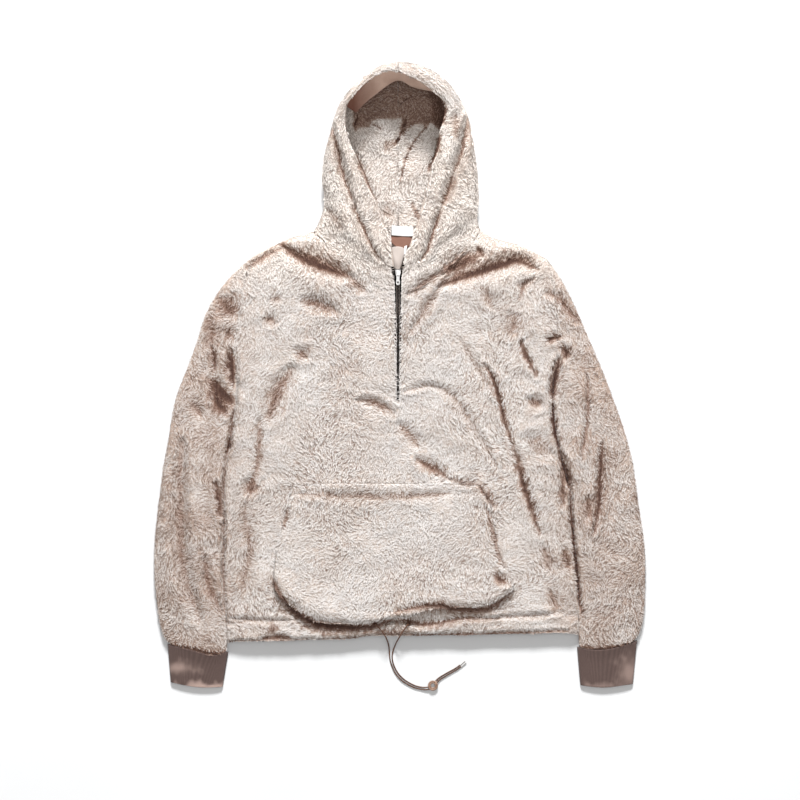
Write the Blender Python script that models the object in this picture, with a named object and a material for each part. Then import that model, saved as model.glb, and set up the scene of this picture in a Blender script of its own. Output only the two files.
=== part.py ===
"""A hooded half-zip pullover of high-pile sherpa fleece, laid out flat on its back.

The garment lies in the XY plane: +Z is up, +Y points to the hood, the front faces up.
The origin is on the ground, under the middle of the garment without its drawcord.
"_left" pieces are on the -X side. The tables are in millimetres; the model is in metres.
"""

from collections import namedtuple
from math import cos, pi, sin

import bpy
import bmesh
import numpy as np

MM = 0.001

# Driving dimensions, in millimetres.
WALL = 8.0              # fleece: knit ground with its pile
RIB_WALL = 2.6          # cuff knit
LAYER_GAP = 2.4         # air between the front and the back where they lie on each other
SEAM_GAP = 0.5          # gap between two pieces sewn edge to edge
CLEAR = 0.3             # gap under a piece that lies on another
CROWN_EASE = 0.15       # the hood's seam opens this much more from the ground up to its crown
FLAT_TOP = 2 * WALL + LAYER_GAP     # height of the front where nothing folds
EDGE_ROLL = 13.0        # how far in the cloth rolls down to a side or shoulder seam
EDGE_DROP = 8.0         # how much lower the cloth is at that seam
HEM_DEPTH = 32.0        # drawcord casing
HEM_RISE = 2.5          # the casing is two layers of cloth
DEEPEST = 6.0           # how far folds may press the cloth down
POCKET_RISE_Y = -398.0  # below this the pocket lies on the casing
ZIP_X = -3.0            # the zip and the hood's centre seam
ZIP_END_Y = -42.0       # lower end of the slit
SLIT_LOW = 4.0          # half width of the slit at its lower end
SLIDER_Y = 175.0
BRIDGE_Y = 171.5        # the pull tab turns here
PIVOT_Z = 16.2
PULL_LENGTH = 17.5
TAPE_THICK = 1.3
CORD_R = 1.1

# Where the grids have their points, as fractions of a seam, so that pieces sewn together share them:
# the armhole (also across a flat sleeve), the side seam from the hem up, the shoulder and the front
# of the neck from the side in, and the back of the neck from its middle out.
ARMHOLE_STOPS = (0.0, 0.02, 0.08, 0.18, 0.3, 0.43, 0.57, 0.7, 0.82, 0.92, 0.98, 1.0)
HEM_STOPS = (0.0, 0.012, 0.035, 0.062, 0.074, 0.088)
SIDE_STOPS = HEM_STOPS + tuple(np.linspace(0.125, 1.0, 18))
SLEEVE_STOPS = tuple(np.linspace(0.0, 0.875, 18)) + (1.0,)
SHOULDER_STOPS = (0.0, 0.07, 0.25, 0.5, 0.78, 1.0)
NECK_STOPS = (0.0, 0.12, 0.26, 0.4, 0.54, 0.68, 0.8, 0.86, 0.91, 0.96, 1.0)
FLOOR_STOPS = (0.0, 0.22, 0.44, 0.6, 0.76, 0.84, 0.9, 1.0)
# Steps of a hood section: centre seam to silhouette, silhouette to crease, crease to face edge.
FLOOR_STEPS = len(FLOOR_STOPS) - 1
TOP_STEPS = 6
BAND_STEPS = 4
BAND_HALF = (4.4, 4.9, 4.6, 2.8)    # half the band's thickness at each of its steps

# Outlines as sewn, each a smooth curve through these points (x, y).
OUTER_LEFT = [(-251, 207), (-285, 179), (-306, 154), (-328, 120), (-336, 103), (-348, 60), (-374, -8),
              (-387, -42), (-397, -106), (-406, -154), (-414, -217), (-421, -276), (-422, -337), (-418, -394),
              (-412, -437), (-396, -457)]
OUTER_RIGHT = [(254, 200), (281, 162), (301, 120), (327, 60), (356, -8), (369, -45), (385, -89), (400, -145),
               (410, -218), (420, -286), (422, -329), (421, -388), (418, -430), (405, -451)]
ARMHOLE_LEFT = [(-251, 207), (-261, 171), (-270, 128), (-277, 77), (-278, 30), (-278, -14)]
ARMHOLE_RIGHT = [(254, 200), (262, 160), (267, 110), (268, 60), (266, 20), (261, -11)]
SIDE_LEFT = [(-278, -14), (-281, -62), (-290, -123), (-295, -162), (-299, -229), (-299, -295), (-298, -351),
             (-295, -409), (-292, -456)]
SIDE_RIGHT = [(261, -11), (262, -65), (269, -110), (277, -149), (286, -178), (291, -204), (294, -242),
              (297, -286), (301, -329), (304, -365), (304, -402), (302, -441)]
SLEEVE_END_LEFT = [(-396, -457), (-357, -466), (-318, -476), (-292, -470)]
SLEEVE_END_RIGHT = [(405, -451), (374, -461), (340, -467), (302, -462)]
CUFF_END_LEFT = [(-391, -523), (-357, -530), (-330, -532), (-302, -531)]
CUFF_END_RIGHT = [(398, -526), (352, -532), (330, -531), (308, -528)]
HEM_LEFT = [(-292, -456), (-277, -454), (-195, -454), (-129, -451), (-79, -451), (-51, -445), (-7, -445)]
HEM_RIGHT = [(302, -441), (247, -441), (119, -444), (1, -445)]
SHOULDER_LEFT = [(-251, 207), (-204, 230), (-170, 244), (-149, 247)]
SHOULDER_RIGHT = [(254, 200), (221, 218), (196, 229), (170, 231), (155, 241), (140, 249)]
NECK_LEFT = [(-149, 247), (-119, 218), (-81, 186), (-42, 157), (-10, 142)]
NECK_RIGHT = [(140, 249), (119, 220), (85, 186), (48, 156), (4, 142)]
BACK_NECK_LEFT = [(-3, 255), (-85, 253), (-149, 247)]
BACK_NECK_RIGHT = [(-3, 255), (68, 254), (140, 249)]

# Folds: a curve through three points, its height (negative for a trough) and half width.
Fold = namedtuple("Fold", "x0 y0 x1 y1 x2 y2 height width")
FRONT_FOLDS = [
    Fold(-221, 225, -139, 191, -68, 152, -7, 11),
    Fold(-190, 193, -136, 162, -81, 135, 4, 14),
    Fold(143, 213, 109, 183, 65, 156, -4, 12),
    Fold(235, 186, 170, 190, 79, 152, -6, 12),
    Fold(170, 218, 136, 196, 106, 178, 5, 11),
    Fold(221, 159, 162, 145, 102, 120, 4, 16),
    Fold(-176, 128, -139, 122, -105, 108, -4, 11),
    Fold(-156, 47, -214, -28, -234, -110, -7, 14),
    Fold(-234, -110, -243, -161, -256, -201, -7, 11),
    Fold(-261, -244, -260, -300, -272, -365, -6, 11),
    Fold(-255, 77, -261, -42, -268, -178, 5, 13),
    Fold(-195, -42, -210, -127, -217, -212, 5, 13),
    Fold(-102, -16, -127, -30, -156, -43, -3, 11),
    Fold(-68, -38, -37, -55, -10, -69, -4, 11),
    Fold(10, -65, 41, -123, 92, -161, -6, 11),
    Fold(17, -127, 55, -154, 99, -178, -5, 11),
    Fold(12, -35, 85, -31, 165, -120, -5, 11),
    Fold(34, -76, 85, -93, 140, -147, 5, 11),
    Fold(94, 64, 113, 35, 131, 3, -4, 11),
    Fold(147, 23, 196, -135, 266, -395, -10, 11),
    Fold(176, 3, 227, -144, 289, -382, 6, 12),
    Fold(123, -8, 169, -161, 232, -382, 5, 12),
    Fold(237, 167, 208, 145, 191, 94, -5, 11),
    Fold(191, 94, 206, 57, 233, -4, -6, 11),
    Fold(238, 145, 232, 94, 247, 40, 5, 11),
    Fold(216, -35, 230, -45, 244, -52, -5, 11),
    Fold(227, -127, 235, -139, 242, -154, -5, 11),
]
SLEEVE_LEFT_FOLDS = [
    Fold(-377, -154, -372, -288, -333, -443, -6, 11),
    Fold(-329, -295, -324, -358, -295, -412, -5, 11),
    Fold(-321, -14, -299, -42, -280, -65, -8, 11),
    Fold(-292, 31, -283, 9, -277, -14, -8, 11),
    Fold(-319, 139, -297, 123, -273, 106, -5, 11),
    Fold(-295, 81, -287, 72, -277, 62, -4, 11),
    Fold(-324, 45, -317, 31, -309, 16, -5, 11),
    Fold(-340, -76, -348, -212, -346, -348, 5, 14),
    Fold(-391, -110, -399, -263, -394, -399, 5, 13),
    Fold(-319, -93, -316, -178, -319, -263, 4, 12),
]
SLEEVE_RIGHT_FOLDS = [
    Fold(320, -21, 318, -67, 310, -116, -6, 11),
    Fold(344, -137, 347, -191, 330, -259, -6, 11),
    Fold(276, 52, 284, 42, 289, 30, -5, 11),
    Fold(347, -38, 359, -59, 371, -79, -4, 11),
    Fold(334, 43, 351, -59, 371, -161, 5, 12),
    Fold(378, -161, 395, -280, 391, -399, 5, 15),
    Fold(293, -93, 320, -246, 340, -399, 5, 14),
    Fold(315, -314, 327, -382, 347, -443, -4, 11),
]
# Folds of the cloth inside the hood, on its floor.
HOOD_FOLDS = [
    Fold(-72, 425, -48, 437, -10, 432, 12, 16),
    Fold(-60, 380, -30, 402, 2, 410, 9, 16),
    Fold(14, 448, 4, 418, -12, 392, -5, 8),
    Fold(32, 440, 22, 400, 4, 330, -6, 8),
    Fold(16, 415, 12, 380, -4, 335, 7, 10),
    Fold(52, 425, 42, 380, 24, 330, 8, 12),
    Fold(66, 408, 62, 380, 50, 352, -6, 8),
    Fold(-60, 350, -40, 310, -18, 280, 5, 12),
]

# Hood sections from its neck seam (first row) round to its crown (last row). Each runs from the
# centre seam on the ground (at y = floor_y), out to the silhouette (side), up and back over to the
# stitch line of the turned-in band (crease), across the band to the face edge.
# z_* are the heights of the middle of the cloth there.
Section = namedtuple(
    "Section", "floor_y side_x side_y crease_x crease_y edge_x edge_y z_side z_top z_crease z_band z_edge")
HOOD_LEFT = [
    Section(255, -149, 247, -42, 157, -10, 142, 9.2, 14.4, 14.4, 14.4, 14.4),
    Section(268, -142, 266, -24, 190, -10, 184, 13, 25, 21, 22, 20),
    Section(285, -134, 286, -49, 220, -15, 220, 16, 34, 26, 32, 25),
    Section(305, -131, 305, -71, 271, -28, 261, 18, 39, 30, 39, 30),
    Section(326, -136, 327, -86, 319, -51, 319, 20, 42, 34, 45, 35),
    Section(346, -135, 353, -96, 353, -64, 353, 22, 45, 38, 50, 41),
    Section(366, -130, 382, -105, 387, -81, 382, 24, 47, 43, 56, 47),
    Section(383, -121, 407, -111, 415, -92, 414, 26, 46, 50, 62, 56),
    Section(397, -112, 438, -108, 440, -91, 452, 27, 44, 54, 68, 66),
    Section(411, -96, 473, -92, 470, -76, 473, 27, 43, 56, 71, 71),
    Section(422, -66, 503, -62, 499, -46, 500, 27, 43, 57, 73, 74),
    Section(433, -34, 524, -32, 519, -24, 512, 27, 43, 58, 74, 77),
    Section(443, -3, 532, -3, 527, -3, 510, 27, 43, 58, 75, 78),
]
HOOD_RIGHT = [
    Section(255, 140, 249, 36, 157, 4, 142, 9.2, 14.4, 14.4, 14.4, 14.4),
    Section(268, 137, 268, 20, 190, 5, 186, 13, 25, 21, 22, 20),
    Section(285, 138, 285, 46, 218, 17, 218, 16, 34, 26, 32, 25),
    Section(305, 138, 303, 62, 269, 31, 261, 18, 39, 30, 39, 30),
    Section(326, 137, 326, 80, 309, 46, 312, 20, 42, 34, 45, 35),
    Section(346, 135, 358, 92, 349, 53, 343, 22, 45, 38, 51, 41),
    Section(366, 131, 380, 101, 381, 63, 380, 24, 48, 43, 58, 47),
    Section(380, 126, 404, 109, 409, 69, 410, 26, 48, 48, 63, 53),
    Section(392, 121, 428, 112, 430, 75, 436, 27, 47, 52, 67, 60),
    Section(404, 113, 451, 104, 450, 76, 458, 27, 46, 55, 71, 67),
    Section(416, 97, 482, 90, 477, 58, 474, 27, 45, 57, 74, 72),
    Section(426, 70, 510, 65, 504, 35, 492, 27, 44, 58, 76, 75),
    Section(434, 34, 527, 31, 521, 15, 502, 27, 43, 58, 76, 77),
    Section(443, -3, 532, -3, 527, -3, 510, 27, 43, 58, 75, 78),
]

POCKET_TOP = [(-183, -186), (-102, -183), (0, -183), (135, -186)]
POCKET_LEFT = [(-214, -354), (-212, -331), (-208, -295), (-193, -225), (-183, -186)]
POCKET_RIGHT = [(193, -361), (184, -339), (169, -302), (160, -252), (153, -217), (135, -186)]
POCKET_BOTTOM = [(-214, -354), (-209, -370), (-197, -383), (-180, -400), (-159, -414), (-119, -421),
                 (-93, -420), (-51, -418), (9, -411), (34, -400), (60, -391), (82, -394), (123, -392),
                 (153, -387), (176, -377), (193, -361)]

# Drawcord, each end from its buttonhole in the casing down over the hem and along the ground.
CORD_LEFT = [(-42, -422, 22.5), (-36, -428, 22.8), (-29, -436, 23), (-24.5, -443, 22.6), (-22, -449, 18.5),
             (-20, -455, 11), (-18.5, -463, 4.5), (-17.5, -472, 1.7), (-17, -482, 1.3), (-14, -494, 1.3),
             (-7, -509, 1.3), (5, -522, 1.3), (23, -532, 1.3), (37, -535.5, 1.5), (45, -536, 2.4),
             (52.2, -534.7, 3.2)]
CORD_RIGHT = [(15, -421, 22.5), (10, -428, 22.8), (4, -436, 23), (0, -443, 22.6), (-3, -449, 18.5),
              (-6, -455, 11), (-9, -463, 4.5), (-12, -472, 1.7), (-13, -481, 1.3), (-10.8, -492.5, 1.3),
              (-4, -506.5, 1.3), (7, -518.5, 1.3), (24, -528.5, 1.3), (37, -532, 1.5), (45, -532.3, 2.4),
              (51.1, -531.4, 3.2)]
TAIL_LEFT = [(60.7, -521.9, 3.2), (64.5, -518, 1.9), (70, -514, 1.3), (82, -507, 1.3), (97, -498.5, 1.3),
             (111, -487, 1.3)]
TAIL_RIGHT = [(63.2, -523.9, 3.2), (67, -520.3, 1.9), (72.5, -516.6, 1.3), (84, -509.7, 1.3),
              (99, -501, 1.3), (113, -489.6, 1.3)]
KNOT = (57.5, -529.0, 4.2)
KNOT_SIZE = (15.0, 9.6, 7.8)

Half = namedtuple("Half", "name sign hem side armhole shoulder neck back_neck outer sleeve_end cuff_end "
                          "sleeve_folds sections")
LEFT = Half("left", -1, HEM_LEFT, SIDE_LEFT, ARMHOLE_LEFT, SHOULDER_LEFT, NECK_LEFT, BACK_NECK_LEFT,
            OUTER_LEFT, SLEEVE_END_LEFT, CUFF_END_LEFT, SLEEVE_LEFT_FOLDS, HOOD_LEFT)
RIGHT = Half("right", 1, HEM_RIGHT, SIDE_RIGHT, ARMHOLE_RIGHT, SHOULDER_RIGHT, NECK_RIGHT, BACK_NECK_RIGHT,
             OUTER_RIGHT, SLEEVE_END_RIGHT, CUFF_END_RIGHT, SLEEVE_RIGHT_FOLDS, HOOD_RIGHT)

# Look of each material: colour, roughness, metallic.
FLEECE = ("fleece", (0.75, 0.66, 0.58), 0.95, 0.0)
RIB = ("rib_knit", (0.42, 0.32, 0.27), 0.85, 0.0)
KNIT = ("facing_knit", (0.62, 0.52, 0.44), 0.9, 0.0)
TAPE = ("zip_tape", (0.03, 0.028, 0.027), 0.8, 0.0)
TEETH = ("zip_teeth", (0.08, 0.075, 0.07), 0.4, 0.8)
METAL = ("zip_metal", (0.8, 0.8, 0.79), 0.25, 1.0)
LABEL = ("label", (0.88, 0.88, 0.88), 0.7, 0.0)
CORD = ("cord", (0.33, 0.24, 0.2), 0.6, 0.0)


def clear_scene():
    for item in list(bpy.data.objects):
        bpy.data.objects.remove(item, do_unlink=True)


def material(look):
    name, colour, roughness, metallic = look
    found = bpy.data.materials.get(name)
    if found:
        return found
    made = bpy.data.materials.new(name)
    made.use_nodes = True
    shader = made.node_tree.nodes["Principled BSDF"]
    shader.inputs["Base Color"].default_value = (*colour, 1.0)
    shader.inputs["Roughness"].default_value = roughness
    shader.inputs["Metallic"].default_value = metallic
    return made


def add_solid(name, points, faces, look, at=(0.0, 0.0, 0.0)):
    """A closed solid from points in millimetres, measured from the place it is put at."""
    mesh = bpy.data.meshes.new(name)
    mesh.from_pydata([tuple((np.array(point) - at) * MM) for point in points], [], faces)
    work = bmesh.new()
    work.from_mesh(mesh)
    bmesh.ops.recalc_face_normals(work, faces=work.faces)
    work.to_mesh(mesh)
    work.free()
    mesh.shade_smooth()
    mesh.set_sharp_from_angle(angle=1.0)
    mesh.materials.append(material(look))
    solid = bpy.data.objects.new(name, mesh)
    solid.location = tuple(np.array(at) * MM)
    bpy.context.scene.collection.objects.link(solid)
    return solid


# Curves and patches.

def spline(points, stops):
    """Points on a smooth curve through the given ones, at these fractions of its length."""
    knots = np.array(points, dtype=float)
    before = 2 * knots[0] - knots[1]
    after = 2 * knots[-1] - knots[-2]
    padded = np.vstack([before, knots, after])
    steps = np.linspace(0.0, 1.0, 16, endpoint=False)[:, None]
    dense = []
    for a, b, c, d in zip(padded, padded[1:], padded[2:], padded[3:]):
        dense.append(0.5 * (2 * b + (c - a) * steps + (2 * a - 5 * b + 4 * c - d) * steps ** 2
                            + (3 * b - a - 3 * c + d) * steps ** 3))
    dense = np.vstack(dense + [knots[-1:]])
    lengths = np.concatenate([[0.0], np.cumsum(np.linalg.norm(np.diff(dense, axis=0), axis=1))])
    wanted = np.array(stops) * lengths[-1]
    return np.stack([np.interp(wanted, lengths, axis) for axis in dense.T], axis=1)


def sampled(*runs):
    """Points on several smooth curves laid end to end, each given with its own stops."""
    pieces = [spline(curve, stops) for curve, stops in runs]
    return np.vstack([pieces[0]] + [piece[1:] for piece in pieces[1:]])


def shares(points):
    """How far along a line each of its points is, from 0 to 1."""
    lengths = np.concatenate([[0.0], np.cumsum(np.linalg.norm(np.diff(points, axis=0), axis=1))])
    return lengths / lengths[-1]


def patch(low, high, first, last):
    """A grid of plan points between four lines of points, rows along and columns across."""
    u = 0.5 * (shares(low) + shares(high))[None, :, None]
    v = 0.5 * (shares(first) + shares(last))[:, None, None]
    corners = ((1 - u) * (1 - v) * low[0] + u * (1 - v) * low[-1]
               + (1 - u) * v * high[0] + u * v * high[-1])
    return ((1 - v) * low[None] + v * high[None] + (1 - u) * first[:, None] + u * last[:, None]
            - corners)


def distance_to(plan, line):
    """How far each plan point lies from a line of points, and how far along the line it is."""
    gaps = np.linalg.norm(plan[..., None, :] - line, axis=-1)
    nearest = gaps.argmin(axis=-1)
    return gaps.min(axis=-1), nearest / (len(line) - 1.0)


def relief(plan, folds):
    """Height that the folds add at each plan point; a fold fades out at both its ends."""
    total = np.zeros(plan.shape[:-1])
    for fold in folds:
        line = spline([fold[0:2], fold[2:4], fold[4:6]], np.linspace(0.0, 1.0, 33))
        gap, along = distance_to(plan, line)
        total += fold.height * np.exp(-(gap / fold.width) ** 2) * np.sin(pi * along) ** 0.5
    return total


def roll(gap, reach, drop):
    """How far cloth that rolls over an edge lies below its middle, at this gap from the edge."""
    share = np.clip(1.0 - gap / reach, 0.0, 1.0)
    return drop * (1.0 - np.sqrt(1.0 - share ** 2))


def with_height(plan, height):
    return np.concatenate([plan, np.broadcast_to(height, plan.shape[:-1])[..., None]], axis=-1)


def sheet(name, upper, lower, look, skip=()):
    """A solid between two grids of points, with walls round its rim and round skipped cells."""
    rows, columns = upper.shape[:2]
    points = np.concatenate([upper.reshape(-1, 3), lower.reshape(-1, 3)])
    offset = rows * columns
    faces = []
    rims = {}
    for row in range(rows - 1):
        for column in range(columns - 1):
            if (row, column) in skip:
                continue
            a = row * columns + column
            cell = (a, a + 1, a + 1 + columns, a + columns)
            faces.append(cell)
            faces.append(tuple(offset + index for index in reversed(cell)))
            for start, end in zip(cell, cell[1:] + cell[:1]):
                if (end, start) in rims:
                    del rims[(end, start)]
                else:
                    rims[(start, end)] = True
    faces += [(end, start, offset + start, offset + end) for start, end in rims]
    used = sorted({index for face in faces for index in face})
    place = {index: number for number, index in enumerate(used)}
    faces = [tuple(place[index] for index in face) for face in faces]
    return add_solid(name, points[used], faces, look)


def tube(name, outer, inner, look):
    """A tube open at both ends, from rings of points (stations by ring points)."""
    stations, ring = outer.shape[:2]
    points = np.concatenate([outer.reshape(-1, 3), inner.reshape(-1, 3)])
    offset = stations * ring
    faces = []
    for station in range(stations - 1):
        for step in range(ring):
            a = station * ring + step
            b = station * ring + (step + 1) % ring
            faces.append((a, b, b + ring, a + ring))
            faces.append((offset + a + ring, offset + b + ring, offset + b, offset + a))
    for start in (0, (stations - 1) * ring):
        for step in range(ring):
            a = start + step
            b = start + (step + 1) % ring
            faces.append((a, b, offset + b, offset + a))
    return add_solid(name, points, faces, look)


def block(name, corners_low, corners_high, look, at=(0.0, 0.0, 0.0)):
    """A solid between two rings of the same number of points."""
    count = len(corners_low)
    faces = [tuple(range(count))[::-1], tuple(range(count, 2 * count))]
    faces += [(i, (i + 1) % count, count + (i + 1) % count, count + i) for i in range(count)]
    return add_solid(name, list(corners_low) + list(corners_high), faces, look, at)


def slab(name, outline, z_low, z_high, look, at=(0.0, 0.0, 0.0)):
    return block(name, [(*p, z_low) for p in outline], [(*p, z_high) for p in outline], look, at)


def rounded_plate(x, y, width, length, radius, arc=4):
    """Outline of a plate with rounded corners, centred at x, y."""
    corners = ((1, 1, 0.0), (-1, 1, 0.5 * pi), (-1, -1, pi), (1, -1, 1.5 * pi))
    points = []
    for side, end, turn in corners:
        for step in range(arc + 1):
            angle = turn + 0.5 * pi * step / arc
            points.append((x + side * (0.5 * width - radius) + radius * cos(angle),
                           y + end * (0.5 * length - radius) + radius * sin(angle)))
    return points


# The body.

def front_height(plan):
    """Height of the front's outer side: flat cloth, its folds, the hem casing and edge rolls."""
    inside = pocket_share(plan)
    height = FLAT_TOP + np.maximum(relief(plan, FRONT_FOLDS), -DEEPEST) * (1.0 - inside)
    hem = spline(HEM_LEFT + HEM_RIGHT[::-1], np.linspace(0.0, 1.0, 80))
    hem_gap = distance_to(plan, hem)[0]
    casing = np.clip((HEM_DEPTH - hem_gap) / 4.0, 0.0, 1.0)
    groove = np.exp(-((hem_gap - HEM_DEPTH) / 4.0) ** 2)
    height = height + HEM_RISE * casing - 2.5 * groove * (1.0 - inside)
    height = height - roll(hem_gap, 9.0, 5.0)
    for edge in (SIDE_LEFT, SIDE_RIGHT):
        line = spline(edge, np.linspace(0.0, 1.0, 60))
        height = height - roll(distance_to(plan, line)[0], EDGE_ROLL, EDGE_DROP)
    for edge in (SHOULDER_LEFT, SHOULDER_RIGHT):
        line = spline(edge, np.linspace(0.0, 1.0, 30))
        height = height - roll(distance_to(plan, line)[0], 1.3 * EDGE_ROLL, EDGE_DROP)
    for edge in (ARMHOLE_LEFT, ARMHOLE_RIGHT):
        line = spline(edge, np.linspace(0.0, 1.0, 40))
        height = height - roll(distance_to(plan, line)[0], 7.0, 3.0)
    zip_gap = np.abs(plan[..., 0] - ZIP_X) - SLIT_LOW
    along_zip = plan[..., 1] > ZIP_END_Y - 6.0
    height = height - np.where(along_zip, roll(np.maximum(zip_gap, 0.0), 9.0, 3.5), 0.0)
    return np.maximum(height, 2 * WALL + 0.6 - EDGE_DROP)


def front_floor(plan, height):
    """Height of the front's inner side, kept clear of the back and of the zip tapes."""
    near_zip = (np.abs(plan[..., 0] - ZIP_X) < 24.0) & (plan[..., 1] > ZIP_END_Y - 30.0)
    lowest = np.where(near_zip, WALL + TAPE_THICK + 2 * CLEAR, WALL + CLEAR)
    return np.maximum(height - WALL, lowest)


def pocket_share(plan):
    """1 where the pocket lies over the front, fading to 0 outside it."""
    outline = np.vstack([spline(POCKET_BOTTOM, np.linspace(0.0, 1.0, 60)),
                         spline(POCKET_RIGHT, np.linspace(0.0, 1.0, 30)),
                         spline(POCKET_TOP, np.linspace(0.0, 1.0, 30))[::-1],
                         spline(POCKET_LEFT, np.linspace(0.0, 1.0, 30))[::-1]])
    gap = distance_to(plan, outline)[0]
    x = plan[..., 0]
    y = plan[..., 1]
    crossings = np.zeros(plan.shape[:-1], dtype=int)
    for (xa, ya), (xb, yb) in zip(outline, np.roll(outline, -1, axis=0)):
        if ya == yb:
            continue
        spans = (y > min(ya, yb)) & (y <= max(ya, yb))
        crossings += spans & (x < xa + (y - ya) * (xb - xa) / (yb - ya))
    inside = crossings % 2 == 1
    margin = np.where(inside, gap, -gap)
    return np.clip((margin + 30.0) / 12.0, 0.0, 1.0)


def half_front(half):
    """Plan points of half of the front: rows from the hem up, columns from the side to the zip."""
    edge_x = ZIP_X + half.sign * SLIT_LOW
    side = sampled((half.side[::-1], SIDE_STOPS), (half.armhole[::-1], ARMHOLE_STOPS))
    top = sampled((half.shoulder, SHOULDER_STOPS), (half.neck, NECK_STOPS))
    hem = spline(half.hem, shares(top))
    centre = sampled(([half.hem[-1], (edge_x, ZIP_END_Y)], SIDE_STOPS),
                     ([(edge_x, ZIP_END_Y), half.neck[-1]], ARMHOLE_STOPS))
    plan = patch(hem, top, side, centre)
    plan[:, 0, 0] -= half.sign * 0.5 * SEAM_GAP
    return plan


def make_front():
    left = half_front(LEFT)
    plan = np.concatenate([left, half_front(RIGHT)[:, ::-1]], axis=1)
    middle = left.shape[1] - 1
    skip = {(row, middle) for row in range(len(SIDE_STOPS) - 1, len(plan) - 1)}
    height = front_height(plan)
    below = with_height(plan, front_floor(plan, height))
    return sheet("front_panel", with_height(plan, height), below, FLEECE, skip)


def make_back():
    """The back, flat on the ground; its edge has the points of the front and of the hood."""
    shoulder = len(SHOULDER_STOPS)
    edges = []
    for half in (LEFT, RIGHT):
        plan = half_front(half)
        neck = spline(half.back_neck, FLOOR_STOPS)
        edges.append(np.vstack([plan[0, ::-1], plan[1:, 0], plan[-1, 1:shoulder], neck[-2::-1]]))
    return slab("back_panel", np.vstack([edges[0], edges[1][-2::-1]]), 0.0, WALL, FLEECE)


def both_sides(plan, upper, lower):
    """Rings of points over the top of a flat tube and back along its underside."""
    return np.concatenate([with_height(plan, upper), with_height(plan, lower)[:, -2:0:-1]], axis=1)


def flat_tube(name, plan, folds, crown, wall, hollow, look):
    """A flattened tube over these stations of plan points; crown is its height along it."""
    across = np.array(ARMHOLE_STOPS)
    fullness = (4.0 * across * (1.0 - across)) ** 0.2
    base = np.interp(shares(plan[:, 0]), *zip(*crown))[:, None]
    middle = wall + 0.5 * hollow
    inner_plan = np.zeros_like(plan)
    for station, line in enumerate(plan):
        inset = wall / np.linalg.norm(line[-1] - line[0])
        moved = inset + (1.0 - 2.0 * inset) * across
        inner_plan[station] = np.stack([np.interp(moved, across, axis) for axis in line.T], axis=1)
    top = base + np.maximum(relief(plan, folds), -DEEPEST)
    air = 0.5 * hollow * fullness
    outer = both_sides(plan, middle + (top - middle) * fullness, middle * (1.0 - fullness))
    inner = both_sides(inner_plan, middle + air, middle - air)
    return tube(name, outer, inner, look)


def make_sleeve(half):
    crown = [(0.0, FLAT_TOP - 1.0), (0.04, FLAT_TOP + 1.0), (0.25, 20.0), (0.6, 21.5), (0.9, 21.0),
             (0.97, 17.5), (1.0, 15.0)]
    armhole = spline(half.armhole, ARMHOLE_STOPS)
    under = np.vstack([spline(half.side, SLEEVE_STOPS), half.sleeve_end[-1]])
    outer = spline(half.outer, shares(under))
    end = spline(half.sleeve_end, ARMHOLE_STOPS)
    plan = patch(armhole, end, outer, under)
    plan[..., 0] += half.sign * 0.5 * SEAM_GAP
    return flat_tube("sleeve_" + half.name, plan, half.sleeve_folds, crown, WALL, LAYER_GAP, FLEECE)


def make_cuff(half):
    crown = [(0.0, 14.0), (0.25, 11.0), (0.8, 8.6), (1.0, 7.8)]
    top = spline(half.sleeve_end, ARMHOLE_STOPS) - (0.0, SEAM_GAP)
    top[:, 0] += half.sign * 0.5 * SEAM_GAP
    end = spline(half.cuff_end, ARMHOLE_STOPS)
    plan = np.stack([top + share * (end - top) for share in (0.0, 0.25, 0.6, 1.0)])
    return flat_tube("cuff_" + half.name, plan, (), crown, RIB_WALL, 1.6, RIB)


# The hood.

def section_points(row):
    """Middle of the cloth along one hood section, the same number of points for each."""
    start = np.array([ZIP_X, row.floor_y])
    silhouette = np.array([row.side_x, row.side_y])
    turn = silhouette + 0.5 * WALL * (start - silhouette) / np.linalg.norm(start - silhouette)
    crease = np.array([row.crease_x, row.crease_y])
    edge = np.array([row.edge_x, row.edge_y])
    knots = [(*start, 0.5 * WALL),
             (*(0.5 * start + 0.5 * turn), 0.5 * WALL),
             (*(0.13 * start + 0.87 * turn), 0.5 * WALL + 0.8),
             (*turn, row.z_side),
             (*(0.55 * turn + 0.45 * crease), row.z_top),
             (*crease, row.z_crease),
             (*(0.55 * crease + 0.45 * edge), row.z_band),
             (*edge, row.z_edge)]
    dense = between(np.array(knots), (12,) * (len(knots) - 1))
    runs = ((0, 36, FLOOR_STOPS), (36, 60, np.linspace(0.0, 1.0, TOP_STEPS + 1)),
            (60, 84, np.linspace(0.0, 1.0, BAND_STEPS + 1)))
    return sampled(*[(dense[start:end + 1], stops) for start, end, stops in runs])


def between(knots, steps):
    """A smooth curve through the knots with a set number of steps to each next one."""
    padded = np.vstack([2 * knots[0] - knots[1], knots, 2 * knots[-1] - knots[-2]])
    found = []
    for number, count in enumerate(steps):
        a, b, c, d = padded[number:number + 4]
        for step in range(count):
            t = step / count
            found.append(0.5 * (2 * b + (c - a) * t + (2 * a - 5 * b + 4 * c - d) * t ** 2
                                + (3 * b - a - 3 * c + d) * t ** 3))
    return np.array(found + [knots[-1]])


def hood_seam(half):
    """The hood's edge at the neck seam, its outer and inner line, on the body's own points."""
    floor = spline(half.back_neck, FLOOR_STOPS)
    top = spline(half.neck, NECK_STOPS)[1:]
    turn = len(floor) - 1
    top_z = front_height(top)
    fold_z = WALL + 0.5 * LAYER_GAP
    outer = np.vstack([floor, top])
    outer[:, 1] += SEAM_GAP
    inner = outer.copy()
    inner[turn] += (-half.sign * WALL, 0.7)
    outer_z = np.concatenate([np.zeros(turn), [fold_z], top_z])
    inner_z = np.concatenate([np.full(turn, WALL), [fold_z], front_floor(top, top_z)])
    return with_height(outer, outer_z), with_height(inner, inner_z)


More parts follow.
